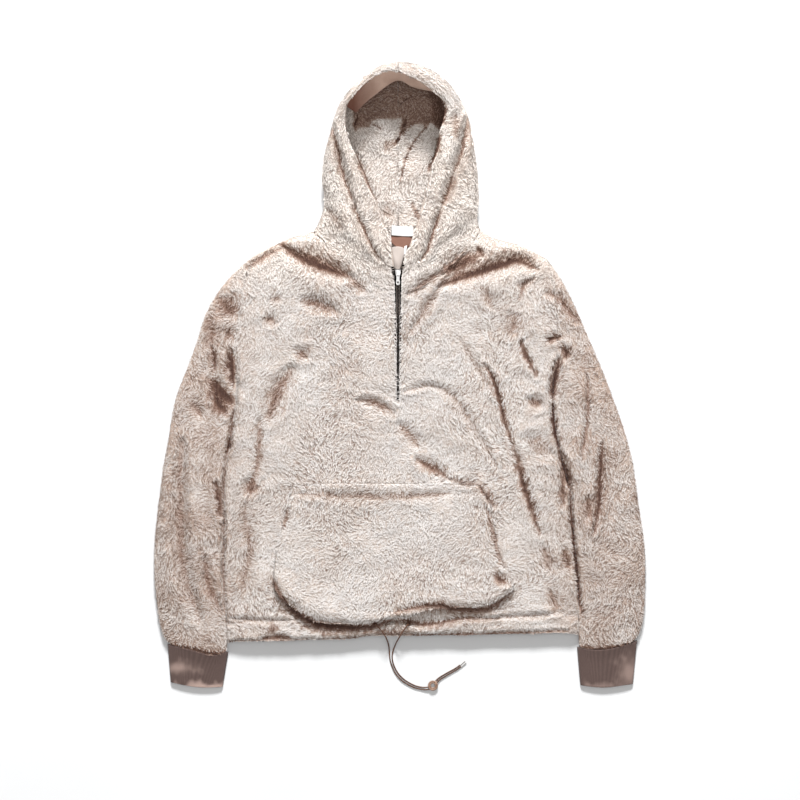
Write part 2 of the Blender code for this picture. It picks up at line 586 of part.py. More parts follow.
def squeezed(middle, half):
    """Half the cloth's thickness, less where it turns so tightly that its pile is pressed together."""
    limit = half.copy()
    for axis in (0, 1):
        lines = np.moveaxis(middle, axis, 0)
        steps = np.diff(lines, axis=0)
        lengths = np.linalg.norm(steps, axis=-1)
        turning = (steps[1:] * steps[:-1]).sum(axis=-1) / (lengths[1:] * lengths[:-1])
        slope = np.tan(0.5 * np.arccos(np.clip(turning, -1.0, 1.0)))
        room = 0.4 * np.minimum(lengths[1:], lengths[:-1]) / np.maximum(slope, 0.01)
        inner = np.moveaxis(limit, axis, 0)[1:-1]
        np.minimum(inner, np.maximum(room, 1.2), out=inner)
    return limit


def grid_normals(grid):
    first = np.gradient(grid, axis=0)
    second = np.gradient(grid, axis=1)
    normal = np.cross(first, second)
    return normal / np.linalg.norm(normal, axis=-1, keepdims=True)


def make_hood_half(half):
    sections = np.array([section_points(row) for row in half.sections])
    seam_outer, seam_inner = hood_seam(half)
    sections[0] = 0.5 * (seam_outer + seam_inner)
    steps = (2,) * (len(sections) - 1)
    middle = np.stack([between(line, steps) for line in np.moveaxis(sections, 1, 0)], axis=1)
    normal = grid_normals(middle)
    if normal[len(middle) // 2, 0, 2] > 0:
        normal = -normal
    normal[-1, :, 0] = 0.0
    normal[:, 0] = (0.0, 0.0, -1.0)
    normal /= np.linalg.norm(normal, axis=-1, keepdims=True)
    thick = np.full(middle.shape[:2], 0.5 * WALL)
    thick[5:, FLOOR_STEPS + TOP_STEPS + 1:] = BAND_HALF
    thick[:5, FLOOR_STEPS + TOP_STEPS + 1:] = 3.0
    thick[:5, FLOOR_STEPS - 2:FLOOR_STEPS + 3] = 2.6
    thick[13:20, FLOOR_STEPS + TOP_STEPS + 1:] *= 0.72
    thick = squeezed(middle, thick)[..., None]
    outside = middle + normal * thick
    inside = middle - normal * thick
    floor = FLOOR_STEPS - 1
    inside[:, :floor, 2] += np.maximum(relief(inside[:, :floor, :2], HOOD_FOLDS), -2.5)
    outside[0] = seam_outer
    inside[0] = seam_inner
    for grid in (outside, inside):
        grid[:, 0, 0] = ZIP_X + half.sign * 0.5 * SEAM_GAP
        grid[-1, 1:, 0] = ZIP_X + half.sign * (0.5 * SEAM_GAP + CROWN_EASE)
        grid[..., 2] = np.maximum(grid[..., 2], 0.0)
    sheet("hood_" + half.name, outside, inside, FLEECE)
    return inside


def make_facing(left, right):
    """The smooth strip that hangs inside the hood's top edge."""
    lower = [(-74, 444), (-57, 461), (-40, 474), (-22, 488), (-7, 497), (4, 497), (18, 488), (32, 484)]
    edge = np.vstack([left[16:, -1], right[-3:-8:-1, -1]])
    stops = np.linspace(0.0, 1.0, 15)
    upper = spline(edge[:, :2], stops)
    height = np.interp(stops, np.linspace(0.0, 1.0, len(edge)), edge[:, 2])
    drop = spline(lower, stops)
    inward = drop - upper
    inward /= np.linalg.norm(inward, axis=1, keepdims=True)
    top = with_height(upper + 0.7 * inward, height - 1.2)
    bottom = with_height(drop, height - 24.0)
    middle = np.stack([top + (bottom - top) * share for share in (0.0, 0.35, 0.7, 1.0)], axis=0)
    normal = grid_normals(middle)
    return sheet("hood_facing", middle + 0.8 * normal, middle - 0.8 * normal, KNIT)


# The pocket, the neck trims, the zip and the drawcord.

def make_pocket():
    across = (0.0, 0.01, 0.03) + tuple(np.linspace(0.1, 0.9, 11)) + (0.97, 0.99, 1.0)
    along = (0.0, 0.016, 0.045) + tuple(np.linspace(0.14, 0.88, 7)) + (0.965, 0.985, 1.0)
    plan = patch(spline(POCKET_BOTTOM, across), spline(POCKET_TOP, across),
                 spline(POCKET_LEFT, along), spline(POCKET_RIGHT, along))
    base = FLAT_TOP + CLEAR + HEM_RISE * np.clip((POCKET_RISE_Y - plan[..., 1]) / 12.0, 0.0, 1.0)
    upper = np.full(plan.shape[:-1], FLAT_TOP + WALL + 1.0)
    upper += 4.5 * np.clip((-330.0 - plan[..., 1]) / 50.0, 0.0, 1.0)
    outline = np.concatenate([plan[0], plan[1:, -1], plan[-1, -2::-1], plan[-2:0:-1, 0]])
    dense = spline(outline, np.linspace(0.0, 1.0, 300))
    upper -= roll(distance_to(plan, dense)[0], 12.0, 5.0)
    upper -= 2.0 * np.exp(-((plan[..., 1] + 197.0) / 7.0) ** 2)
    upper = np.maximum(upper, base + 2.5)
    return sheet("pocket", with_height(plan, upper), with_height(plan, base), FLEECE)


def make_neck_trims():
    patch_top = WALL + CLEAR + 1.0
    half_moon = [(-52 + 4 * k, 216 + 0.0075 * (4 * k - 52 + 3) ** 2) for k in range(27)]
    outline = half_moon + [(52, 252), (-52, 252)]
    slab("neck_patch", outline, WALL + CLEAR, patch_top, RIB)
    label_low = patch_top + CLEAR
    slab("neck_label", rounded_plate(4.5, 245.5, 37, 14, 0.6), label_low, label_low + 0.7, LABEL)


def make_zip():
    tape_low = WALL + CLEAR
    tape_high = tape_low + TAPE_THICK
    for side, sign in (("left", -1), ("right", 1)):
        near = ZIP_X + sign * 2.8
        far = ZIP_X + sign * 16.0
        outline = [(near, ZIP_END_Y - 8), (far, ZIP_END_Y - 8), (far, 150), (far, 180),
                   (ZIP_X + sign * 8.0, 186), (near, 168)]
        slab("zip_tape_" + side, outline[::sign], tape_low, tape_high, TAPE)
    teeth_low = ZIP_END_Y + 4.8
    teeth_high = SLIDER_Y - 6.5
    teeth = rounded_plate(ZIP_X, 0.5 * (teeth_low + teeth_high), 4.6, teeth_high - teeth_low, 0.8, 2)
    slab("zip_teeth", teeth, tape_low, tape_low + 3.4, TEETH)
    stop = rounded_plate(ZIP_X, ZIP_END_Y + 2.5, 5.0, 3.4, 0.6, 2)
    slab("zip_stop", stop, tape_low, tape_low + 4.0, METAL)
    make_slider(tape_high + CLEAR)
    make_pull()


def make_slider(low):
    """Slider with an arched bridge over it that holds the pull tab."""
    top = PIVOT_Z - 0.85
    body = bmesh.new()
    outline = [(4.6, 5.4), (-4.6, 5.4), (-4.6, 0.5), (-3.4, -5.8), (3.4, -5.8), (4.6, 0.5)]
    low_ring = [body.verts.new((x * MM, y * MM, low * MM)) for x, y in outline]
    high_ring = [body.verts.new((0.93 * x * MM, 0.93 * y * MM, top * MM)) for x, y in outline]
    body.faces.new(low_ring[::-1])
    body.faces.new(high_ring)
    for i in range(len(outline)):
        j = (i + 1) % len(outline)
        body.faces.new((low_ring[i], low_ring[j], high_ring[j], high_ring[i]))
    mesh = bpy.data.meshes.new("zip_slider")
    body.to_mesh(mesh)
    body.free()
    mesh.materials.append(material(METAL))
    slider = bpy.data.objects.new("zip_slider", mesh)
    slider.location = (ZIP_X * MM, SLIDER_Y * MM, 0.0)
    bpy.context.scene.collection.objects.link(slider)
    arch = bridge_mesh(top)
    arch.location = slider.location
    union = slider.modifiers.new("bridge", "BOOLEAN")
    union.operation = "UNION"
    union.object = arch
    return slider


def bridge_mesh(plate_top):
    """The bridge: half a ring across the pivot, its feet sunk into the slider's plate."""
    inner = 1.15
    outer = 2.1
    half_width = 0.7
    y0 = BRIDGE_Y - SLIDER_Y
    z0 = PIVOT_Z
    profile = [(y0 + outer * cos(pi * k / 8), z0 + outer * sin(pi * k / 8)) for k in range(9)]
    profile += [(y0 - outer, plate_top - 0.6), (y0 - inner, plate_top - 0.6)]
    profile += [(y0 - inner * cos(pi * k / 8), z0 + inner * sin(pi * k / 8)) for k in range(9)]
    profile += [(y0 + inner, plate_top - 0.6), (y0 + outer, plate_top - 0.6)]
    low = [(-half_width, y, z) for y, z in profile]
    high = [(half_width, y, z) for y, z in profile]
    arch = block("guide_bridge", low, high, METAL)
    arch.hide_render = True
    arch.display_type = "WIRE"
    return arch


def make_pull():
    """The pull tab: a flat tongue whose end bar runs under the slider's bridge."""
    bar = 0.5
    eye = 2.6
    half_thick = 0.5
    pivot = (ZIP_X, BRIDGE_Y, PIVOT_Z)
    outline = [(-1.9, bar), (1.9, bar), (1.9, -eye - 0.9), (3.1, -eye - 3.2), (3.2, -PULL_LENGTH + 3.2)]
    outline += [(3.2 * cos(k * pi / 8), -PULL_LENGTH + 3.2 - 3.2 * sin(k * pi / 8)) for k in range(1, 8)]
    outline += [(-3.2, -PULL_LENGTH + 3.2), (-3.1, -eye - 3.2), (-1.9, -eye - 0.9)]
    low = [(x + pivot[0], y + pivot[1], PIVOT_Z - half_thick) for x, y in outline]
    high = [(x + pivot[0], y + pivot[1], PIVOT_Z + half_thick) for x, y in outline]
    pull = block("zip_pull", low, high, METAL, at=pivot)
    hole_y = -PULL_LENGTH + 5.0
    window = [(1.15, -bar), (-1.15, -bar), (-1.15, -eye), (1.15, -eye)]
    hole = [(1.1 * cos(2 * pi * k / 10), hole_y + 1.1 * sin(2 * pi * k / 10)) for k in range(10)]
    for name, ring in (("guide_window", window), ("guide_hole", hole)):
        low = [(x + pivot[0], y + pivot[1], PIVOT_Z - 2.0) for x, y in ring]
        high = [(x + pivot[0], y + pivot[1], PIVOT_Z + 2.0) for x, y in ring]
        cutter = block(name, low, high, METAL)
        cutter.hide_render = True
        cutter.display_type = "WIRE"
        cut = pull.modifiers.new(name, "BOOLEAN")
        cut.operation = "DIFFERENCE"
        cut.object = cutter
    return pull


def make_cord(name, route, count):
    points = spline(route, np.linspace(0.0, 1.0, count)) * MM
    curve = bpy.data.curves.new(name, "CURVE")
    curve.dimensions = "3D"
    curve.bevel_depth = CORD_R * MM
    curve.bevel_resolution = 2
    curve.use_fill_caps = True
    line = curve.splines.new("POLY")
    line.points.add(len(points) - 1)
    for point, place in zip(line.points, points):
        point.co = (*place, 1.0)
    curve.materials.append(material(CORD))
    cord = bpy.data.objects.new(name, curve)
    bpy.context.scene.collection.objects.link(cord)
    return cord


def make_knot():
    mesh = bpy.data.meshes.new("cord_knot")
    work = bmesh.new()
    bmesh.ops.create_uvsphere(work, u_segments=12, v_segments=8, radius=0.5 * MM)
    for vert in work.verts:
        vert.co.x *= KNOT_SIZE[0]
        vert.co.y *= KNOT_SIZE[1]
        vert.co.z *= KNOT_SIZE[2]
    work.to_mesh(mesh)
    work.free()
    mesh.shade_smooth()
    mesh.materials.append(material(CORD))
    knot = bpy.data.objects.new("cord_knot", mesh)
    knot.location = tuple(value * MM for value in KNOT)
    knot.rotation_euler = (0.0, 0.0, 0.95)
    bpy.context.scene.collection.objects.link(knot)
    return knot


def main():
    clear_scene()
    make_back()
    make_front()
    for half in (LEFT, RIGHT):
        make_sleeve(half)
        make_cuff(half)
    make_facing(make_hood_half(LEFT), make_hood_half(RIGHT))
    make_pocket()
    make_neck_trims()
    make_zip()
    make_cord("cord_left", CORD_LEFT, 30)
    make_cord("cord_right", CORD_RIGHT, 30)
    make_cord("cord_tail_left", TAIL_LEFT, 9)
    make_cord("cord_tail_right", TAIL_RIGHT, 9)
    make_knot()


main()
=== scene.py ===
"""Looks of a hooded half-zip pullover of high-pile sherpa fleece, laid out flat on a pale floor.

Each fleece piece is a thin cloth on its solid's form, set lower by the depth of the pile. Creases
are laid into it from a table, and a pile of bent tufts stands on it. Tables are in millimetres, in
the frame's axes.
"""

from collections import namedtuple
from math import cos, pi, radians, sin

import bmesh
import bpy
import numpy as np
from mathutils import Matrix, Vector
from mathutils.bvhtree import BVHTree


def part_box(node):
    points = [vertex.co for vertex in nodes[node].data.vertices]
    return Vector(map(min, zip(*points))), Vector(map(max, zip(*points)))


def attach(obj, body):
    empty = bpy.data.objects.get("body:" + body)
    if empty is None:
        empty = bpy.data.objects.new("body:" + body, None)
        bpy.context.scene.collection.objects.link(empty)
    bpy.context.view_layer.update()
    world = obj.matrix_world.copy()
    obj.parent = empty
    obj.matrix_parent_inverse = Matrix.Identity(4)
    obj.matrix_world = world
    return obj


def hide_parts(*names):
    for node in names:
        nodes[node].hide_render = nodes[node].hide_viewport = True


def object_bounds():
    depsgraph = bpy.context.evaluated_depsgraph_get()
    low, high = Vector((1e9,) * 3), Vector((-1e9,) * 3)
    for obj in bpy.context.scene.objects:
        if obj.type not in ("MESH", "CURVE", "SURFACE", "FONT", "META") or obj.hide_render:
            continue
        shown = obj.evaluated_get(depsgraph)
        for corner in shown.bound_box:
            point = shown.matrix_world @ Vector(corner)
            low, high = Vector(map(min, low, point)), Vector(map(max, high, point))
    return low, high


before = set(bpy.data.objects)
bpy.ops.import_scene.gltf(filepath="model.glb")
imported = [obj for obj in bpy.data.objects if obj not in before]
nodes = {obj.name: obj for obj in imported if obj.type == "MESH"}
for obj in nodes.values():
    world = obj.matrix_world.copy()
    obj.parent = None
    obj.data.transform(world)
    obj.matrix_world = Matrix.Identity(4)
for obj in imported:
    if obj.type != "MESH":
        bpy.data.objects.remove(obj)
cad_low, cad_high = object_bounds()
scene = bpy.context.scene

MM = 0.001
PICTURE_WIDTH = 1.36        # metres across the picture at the height of the cloth
PICTURE_MIDDLE = (0.0004, -0.0416)
CLOTH_HEIGHT = 0.018
LENS = 100.0
SENSOR = 36.0
WHITE = (1.0, 1.0, 1.0)

PILE_DEPTH = 4.0 * MM       # the cloth lies this much under its solid, and the pile fills it
EDGE_PULL = 3.5 * MM        # and this much inside the outline
SEAM_EDGE = 0.9             # how crisp the cut edges of the cloth stay
SHARP_FROM = radians(48)    # the solid's edges are cut edges from this angle
FLAT_UP_TO = radians(50)    # and its triangles are joined up to this one
MAP_STEP = 0.003            # cell of the maps of outline and height


def placed(name, data):
    """A new object in the scene."""
    obj = bpy.data.objects.new(name, data)
    scene.collection.objects.link(obj)
    return obj


def from_work(name, work):
    """A new mesh object from a bmesh, which is freed."""
    data = bpy.data.meshes.new(name)
    work.to_mesh(data)
    work.free()
    return placed(name, data)


def seat(obj, look, slot, *replaced, body="garment"):
    """Give a piece its material, the nodes that it stands for and the body that it rides on. Its slot is not
    used.
    """
    obj.data.materials.clear()
    obj.data.materials.append(look)
    if replaced:
        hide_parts(*replaced)
    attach(obj, body)
    return obj


# Camera and cords.

def make_camera():
    data = bpy.data.cameras.new("camera")
    data.type = "PERSP"
    data.lens = LENS
    data.sensor_width = SENSOR
    camera = placed("camera", data)
    away = PICTURE_WIDTH * LENS / SENSOR
    camera.location = (*PICTURE_MIDDLE, CLOTH_HEIGHT + away)
    data.clip_end = 20.0
    scene.camera = camera


CORD_WIDE = 2.2 * MM
CORD_LEFT = [(-42, -422, 22.5), (-36, -428, 22.8), (-29, -436, 23), (-24.5, -443, 22.6), (-22, -449, 18.5),
             (-20, -455, 11), (-18.5, -463, 4.5), (-17.5, -472, 1.7), (-17, -482, 1.3), (-14, -494, 1.3),
             (-7, -509, 1.3), (5, -522, 1.3), (23, -532, 1.3), (37, -535.5, 1.5), (45, -536, 2.4),
             (52.2, -534.7, 3.2)]
CORD_RIGHT = [(15, -421, 22.5), (10, -428, 22.8), (4, -436, 23), (0, -443, 22.6), (-3, -449, 18.5),
              (-6, -455, 11), (-9, -463, 4.5), (-12, -472, 1.7), (-13, -481, 1.3), (-10.8, -492.5, 1.3),
              (-4, -506.5, 1.3), (7, -518.5, 1.3), (24, -528.5, 1.3), (37, -532, 1.5), (45, -532.3, 2.4),
              (51.1, -531.4, 3.2)]
TAIL_LEFT = [(60.7, -521.9, 3.2), (64.5, -518, 1.9), (70, -514, 1.3), (82, -507, 1.3), (97, -498.5, 1.3),
             (111, -487, 1.3)]
TAIL_RIGHT = [(63.2, -523.9, 3.2), (67, -520.3, 1.9), (72.5, -516.6, 1.3), (84, -509.7, 1.3),
              (99, -501, 1.3), (113, -489.6, 1.3)]
TIP_WIDE = 2.7 * MM
KNOT_WIDE = 2.9 * MM        # the knot is pulled tight, so its turns look thicker
KNOT_AT = (56.6, -529.0)
KNOT_LOOPS = ((7.2, 2.2, CORD_LEFT[-1], TAIL_LEFT[0]), (5.0, 2.0, CORD_RIGHT[-1], TAIL_RIGHT[0]))
KNOT_TURN = (-118, 405)     # degrees that each strand runs round its loop
KNOT_RISE = 2.6
KNOT_WEAVE = 0.4            # how far a strand goes over and under on its way round


def smooth_route(points, steps=5):
    """Catmull-Rom points through a route."""
    p = np.array(points, float)
    p = np.vstack([2 * p[0] - p[1], p, 2 * p[-1] - p[-2]])
    out = []
    for a, b, c, d in zip(p, p[1:], p[2:], p[3:]):
        for t in np.linspace(0, 1, steps, endpoint=False):
            out.append(0.5 * (2 * b + (c - a) * t + (2 * a - 5 * b + 4 * c - d) * t ** 2
                              + (3 * b - a - 3 * c + d) * t ** 3))
    out.append(p[-2])
    return np.array(out)


def add_line(data, points, closed=False):
    """Add a line through points, in metres, to a curve."""
    line = data.splines.new("POLY")
    line.points.add(len(points) - 1)
    line.use_cyclic_u = closed
    for place, point in zip(line.points, points):
        place.co = (*point, 1.0)


def cord_curve(name, routes, wide=CORD_WIDE):
    data = bpy.data.curves.new(name, "CURVE")
    data.dimensions = "3D"
    data.bevel_depth = wide / 2
    data.bevel_resolution = 3
    data.use_fill_caps = True
    for route in routes:
        add_line(data, np.array(route) * MM)
    return placed(name, data)


def knot_turns():
    """Both strands' way round the loop of the knot, one turn and a half each."""
    routes = []
    turn = np.radians(np.linspace(*KNOT_TURN, 22))
    rise = np.linspace(0, KNOT_RISE, 22) + KNOT_WEAVE * np.sin(2 * turn)
    for radius, low, start, end in KNOT_LOOPS:
        ring = np.stack([KNOT_AT[0] + radius * np.cos(turn), KNOT_AT[1] + radius * np.sin(turn),
                         low + rise], axis=1)
        routes.append(smooth_route([start, *ring, end], 3))
    return routes


def make_cords():
    made = {}
    for name, route in (("cord_left", CORD_LEFT), ("cord_right", CORD_RIGHT),
                        ("cord_tail_left", TAIL_LEFT), ("cord_tail_right", TAIL_RIGHT)):
        points = smooth_route(route)
        made[name] = (cord_curve(name + "_braid", [points]), points)
    knot = cord_curve("cord_knot_turns", knot_turns(), KNOT_WIDE)
    tips = {}
    for name in ("cord_tail_left", "cord_tail_right"):
        tips[name] = cord_curve(name + "_tip", [made[name][1][-4:]], TIP_WIDE)
        seat(tips[name], TIP, "cord")
    for name, (piece, points) in made.items():
        seat(piece, CORD, "cord", name)
    seat(knot, KNOT, "cord", "cord_knot")


# Materials.

class Look:
    """A material under construction: one Principled shader and its nodes."""

    def __init__(self, name, roughness=0.9, sheen=0.0, metallic=0.0):
        self.made = bpy.data.materials.new(name)
        self.made.use_nodes = True
        self.tree = self.made.node_tree
        self.shader = self.tree.nodes["Principled BSDF"]
        for key, value in (("Roughness", roughness), ("Metallic", metallic), ("Sheen Weight", sheen),
                           ("Sheen Roughness", 0.5)):
            self.shader.inputs[key].default_value = value
        self.place = self.node("ShaderNodeTexCoord").outputs["Object"]

    def node(self, kind, **settings):
        made = self.tree.nodes.new(kind)
        for key, value in settings.items():
            if key in made.inputs:
                made.inputs[key].default_value = value
            else:
                setattr(made, key, value)
        return made

    def gloss(self, level):
        self.shader.inputs["Specular IOR Level"].default_value = level

    def link(self, out, into):
        self.tree.links.new(out, into)

    def feed(self, value, socket):
        """A number or a colour as the socket's own value, and an output as a link."""
        if isinstance(value, (int, float)):
            socket.default_value = value
        elif isinstance(value, tuple):
            socket.default_value = (*value, 1.0)
        else:
            self.link(value, socket)

    def pattern(self, kind, **settings):
        made = self.node(kind, **settings)
        self.link(self.place, made.inputs["Vector"])
        return made.outputs["Fac"]

    def noise(self, scale, detail=3.0, rough=0.55):
        return self.pattern("ShaderNodeTexNoise", Scale=scale, Detail=detail, Roughness=rough)

    def wave(self, scale, direction="X", distortion=0.0):
        return self.pattern("ShaderNodeTexWave", Scale=scale, Distortion=distortion,
                            bands_direction=direction)

    def attribute(self, name, out="Fac"):
        return self.node("ShaderNodeAttribute", attribute_name=name).outputs[out]

    def ramp(self, value, stops):
        made = self.node("ShaderNodeValToRGB")
        ramp = made.color_ramp
        while len(ramp.elements) < len(stops):
            ramp.elements.new(0.5)
        for element, (at, colour) in zip(ramp.elements, stops):
            element.position = at
            element.color = (*colour, 1.0)
        self.link(value, made.inputs["Fac"])
        return made.outputs["Color"]

    def mix(self, factor, first, second, blend="MIX"):
        made = self.node("ShaderNodeMix", data_type="RGBA", blend_type=blend)
        for value, socket in ((factor, 0), (first, 6), (second, 7)):
            self.feed(value, made.inputs[socket])
        return made.outputs[2]

    def times(self, first, second):
        return self.mix(1.0, first, second, "MULTIPLY")

    def along(self, axis):
        """The place along one of the object's axes, in metres."""
        made = self.node("ShaderNodeSeparateXYZ")
        self.link(self.place, made.inputs[0])
        return made.outputs[axis]

    def math(self, operation, first, second=0.0):
        made = self.node("ShaderNodeMath", operation=operation)
        self.feed(first, made.inputs[0])
        self.feed(second, made.inputs[1])
        return made.outputs[0]

    def span(self, value, low, high, to_low=0.0, to_high=1.0):
        made = self.node("ShaderNodeMapRange")
        self.link(value, made.inputs[0])
        for socket, number in zip(made.inputs[1:5], (low, high, to_low, to_high)):
            socket.default_value = number
        return made.outputs[0]

    def roughness(self, low, high, scale):
        self.link(self.span(self.noise(scale), 0.3, 0.7, low, high), self.shader.inputs["Roughness"])

    def done(self, colour, height, distance, strength, facing=None):
        """The finished material: its bumps are about the face's normal, or an attribute's vector."""
        self.link(colour, self.shader.inputs["Base Color"])
        bump = self.node("ShaderNodeBump", Strength=strength, Distance=distance)
        if facing:
            self.link(self.attribute(facing, "Vector"), bump.inputs["Normal"])
        self.link(height, bump.inputs["Height"])
        self.link(bump.outputs["Normal"], self.shader.inputs["Normal"])
        return self.made


# What is left of the light in a crease or under an overhang, from none to all of it.
SHADE = [(0.0, WHITE), (0.25, (0.73, 0.65, 0.605)), (0.5, (0.47, 0.350, 0.298)),
         (0.75, (0.27, 0.168, 0.130)), (1.0, (0.12, 0.062, 0.046))]


def fleece_ground():
    look = Look("fleece_ground", 0.95)
    # Painted shade: the cloth under the pile is darker and browner than the pile, as the shade between tufts,
    # and darker still by the deep attribute in creases, hollows, under the hood's rim and towards the outer
    # sides.
    tone = look.ramp(look.noise(260.0, 5.0), [(0.3, (0.42, 0.35, 0.30)), (0.7, (0.64, 0.56, 0.505))])
    tone = look.times(tone, look.ramp(look.attribute("deep"), SHADE))
    return look.done(tone, look.noise(700.0, 4.0), 1.5 * MM, 0.8)


def fleece_pile():
    look = Look("fleece_pile", 0.85)
    # Painted shade: the pile is darker and browner towards its roots and in the gaps between strands.
    tone = look.ramp(look.attribute("tip"), [(0.0, (0.54, 0.474, 0.435)), (0.5, (0.676, 0.640, 0.614)),
                                             (1.0, (0.775, 0.754, 0.738))])
    strand = look.ramp(look.attribute("strand"), [(0.0, (0.24, 0.160, 0.125)), (0.18, (0.52, 0.425, 0.375)),
                                                  (0.36, (0.93, 0.910, 0.89)), (0.66, WHITE)])
    # Painted light: from the shoulders up the gaps between strands are evened and the pile is brightened,
    # lifting the hood out of the shade of its own top.
    strand = look.mix(look.span(look.attribute("painted_light"), 0.0, 1.0, 0.0, 0.4), strand, WHITE)
    tone = look.times(tone, strand)
    # Painted shade from the deep attribute: in creases, hollows, under the hood's rim and towards the outer
    # sides.
    tone = look.times(tone, look.ramp(look.attribute("deep"), SHADE))
    cloud = look.ramp(look.noise(16.0, 3.0), [(0.35, (0.96, 0.94, 0.925)), (0.6, WHITE)])
    tone = look.times(tone, cloud)
    # Painted light, up to 1.3 times as bright.
    painted_light = look.ramp(look.attribute("painted_light"), [(0.0, WHITE), (1.0, (1.30, 1.27, 1.23))])
    look.roughness(0.75, 0.95, 900.0)
    return look.done(look.times(tone, painted_light), look.noise(1800.0, 2.0), 0.3 * MM, 0.4, "facing")


RUBBED = (0.40, 0.29, 0.25)      # the cuffs' paler parts


def rib_knit():
    look = Look("rib_knit", 0.9, 0.08)
    rib = look.attribute("rib")
    # Painted shade: the ribs are darker in their valleys than on their tops.
    ribs = look.ramp(rib, [(0.0, (0.081, 0.051, 0.044)), (1.0, (0.104, 0.066, 0.057))])
    stitch = look.ramp(look.noise(900.0, 3.0), [(0.3, (0.82, 0.80, 0.79)), (0.7, WHITE)])
    tone = look.times(ribs, stitch)
    worn = look.ramp(look.noise(22.0, 3.0), [(0.3, (0.9, 0.88, 0.87)), (0.7, WHITE)])
    tone = look.times(tone, worn)
    tone = look.mix(look.attribute("edge"), tone, RUBBED)
    return look.done(tone, look.wave(420.0, "Y", 1.0), 0.25 * MM, 0.6)


KNIT_SHADE = (0.30, 0.17, 0.135)


def plain_knit(name, dark, light, shaded=None):
    """A smooth knit; shaded is an axis with the places where it is in full shade and where it is not."""
    look = Look(name, 0.88, 0.05)
    courses = look.math("MULTIPLY", look.wave(330.0, "X", 0.6), look.wave(280.0, "Y", 0.6))
    fuzz = look.noise(500.0, 4.0)
    height = look.math("ADD", look.math("MULTIPLY", courses, 0.6), look.math("MULTIPLY", fuzz, 0.4))
    tone = look.mix(0.5, look.ramp(height, [(0.15, dark), (0.6, light)]),
                    look.ramp(look.noise(30.0), [(0.35, dark), (0.65, light)]))
    if shaded:
        axis, full, none = shaded
        shade = look.ramp(look.span(look.along(axis), full, none), [(0.0, KNIT_SHADE), (1.0, WHITE)])
        tone = look.times(tone, shade)
    return look.done(tone, height, 0.35 * MM, 0.7)


def zip_tape():
    look = Look("zip_tape_weave", 0.8)
    look.gloss(0.05)
    height = look.math("MAXIMUM", look.wave(520.0, "DIAGONAL", 0.4), look.wave(600.0, "Y"))
    tone = look.ramp(height, [(0.1, (0.0015, 0.0012, 0.0012)), (0.9, (0.007, 0.006, 0.0056))])
    return look.done(tone, height, 0.2 * MM, 0.7)


def worn_metal(name, dark, light, rough, metallic=1.0):
    """Nickel, or at metallic 0 a blackened finish with hardly any gloss."""
    look = Look(name, rough, 0.0, metallic)
    look.gloss(0.06 + 0.44 * metallic)
    tone = look.ramp(look.noise(240.0, 5.0, 0.65), [(0.35, dark), (0.62, light)])
    look.roughness(rough - 0.08, rough + 0.12, 700.0)
    return look.done(tone, look.noise(1400.0), 0.05 * MM, 0.3)


def woven_label():
    look = Look("label_weave", 0.6, 0.2)
    weave = look.math("MULTIPLY", look.wave(700.0, "X"), look.wave(620.0, "Y"))
    tone = look.ramp(weave, [(0.0, (0.62, 0.62, 0.61)), (0.7, (0.88, 0.88, 0.87))])
    return look.done(tone, weave, 0.12 * MM, 0.6)


def braided_cord(name, dark, light, rough=0.45):
    look = Look(name, rough)
    look.gloss(0.15)
    strands = look.math("MAXIMUM", look.wave(300.0, "DIAGONAL", 0.5), look.wave(420.0, "Z", 1.5))
    tone = look.ramp(strands, [(0.1, dark), (0.8, light)])
    fade = look.ramp(look.noise(60.0), [(0.35, (0.75, 0.72, 0.70)), (0.65, WHITE)])
    return look.done(look.times(tone, fade), strands, 0.2 * MM, 0.6)


def pale_floor():
    look = Look("pale_floor", 0.9)
    tone = look.ramp(look.noise(3.0), [(0.3, (0.628, 0.638, 0.645)), (0.7, (0.648, 0.658, 0.665))])
    look.link(tone, look.shader.inputs["Base Color"])
    return look.made


GROUND = fleece_ground()
PILE = fleece_pile()
RIB = rib_knit()
# Painted shade: the hood's facing is darker towards its left end, under the rim, and the neck patch towards
# its top, under the label.
FACING = plain_knit("facing_knit_fine", (0.47, 0.310, 0.240), (0.74, 0.550, 0.450), ("X", -0.078, -0.030))
NECK = plain_knit("neck_facing_knit", (0.36, 0.310, 0.280), (0.45, 0.395, 0.362))
PATCH = plain_knit("patch_knit", (0.17, 0.080, 0.055), (0.25, 0.130, 0.092), ("Y", 0.2400, 0.2345))
TAPE = zip_tape()
TEETH = worn_metal("teeth_metal", (0.001, 0.0009, 0.0009), (0.007, 0.006, 0.0056), 0.6, 0.0)
METAL = worn_metal("slider_metal", (0.34, 0.335, 0.33), (0.62, 0.615, 0.605), 0.34)
LABEL = woven_label()
CORD = braided_cord("cord_braid", (0.040, 0.019, 0.012), (0.150, 0.080, 0.054))
# Painted light: the knot is the same cord as the braid, painted paler where it looks lit.
KNOT = braided_cord("cord_knot_braid", (0.08, 0.046, 0.032), (0.36, 0.235, 0.175))
TIP = braided_cord("cord_tip_braid", (0.30, 0.29, 0.28), (0.52, 0.51, 0.50), 0.6)
FLOOR = pale_floor()


# Meshes as arrays.

def threes(items, field, kind=float):
    out = np.zeros(len(items) * 3, kind)
    items.foreach_get(field, out)
    return out.reshape(-1, 3)


def raw_mesh(obj):
    """The points of a mesh and its triangles."""
    data = obj.data
    data.calc_loop_triangles()
    return threes(data.vertices, "co"), threes(data.loop_triangles, "vertices", np.int32)


def vertex_normals(obj):
    return threes(obj.data.vertex_normals, "vector")


def put_points(obj, points):
    obj.data.vertices.foreach_set("co", np.asarray(points, np.float32).ravel())
    obj.data.update()


def tree_of(*objs):
    points, triangles, first = [], [], 0
    for obj in objs:
        p, t = raw_mesh(obj)
        points.append(p)
        triangles.append(t + first)
        first += len(p)
    points = [Vector(p) for p in np.vstack(points)]
    return BVHTree.FromPolygons(points, np.vstack(triangles).tolist(), all_triangles=True)


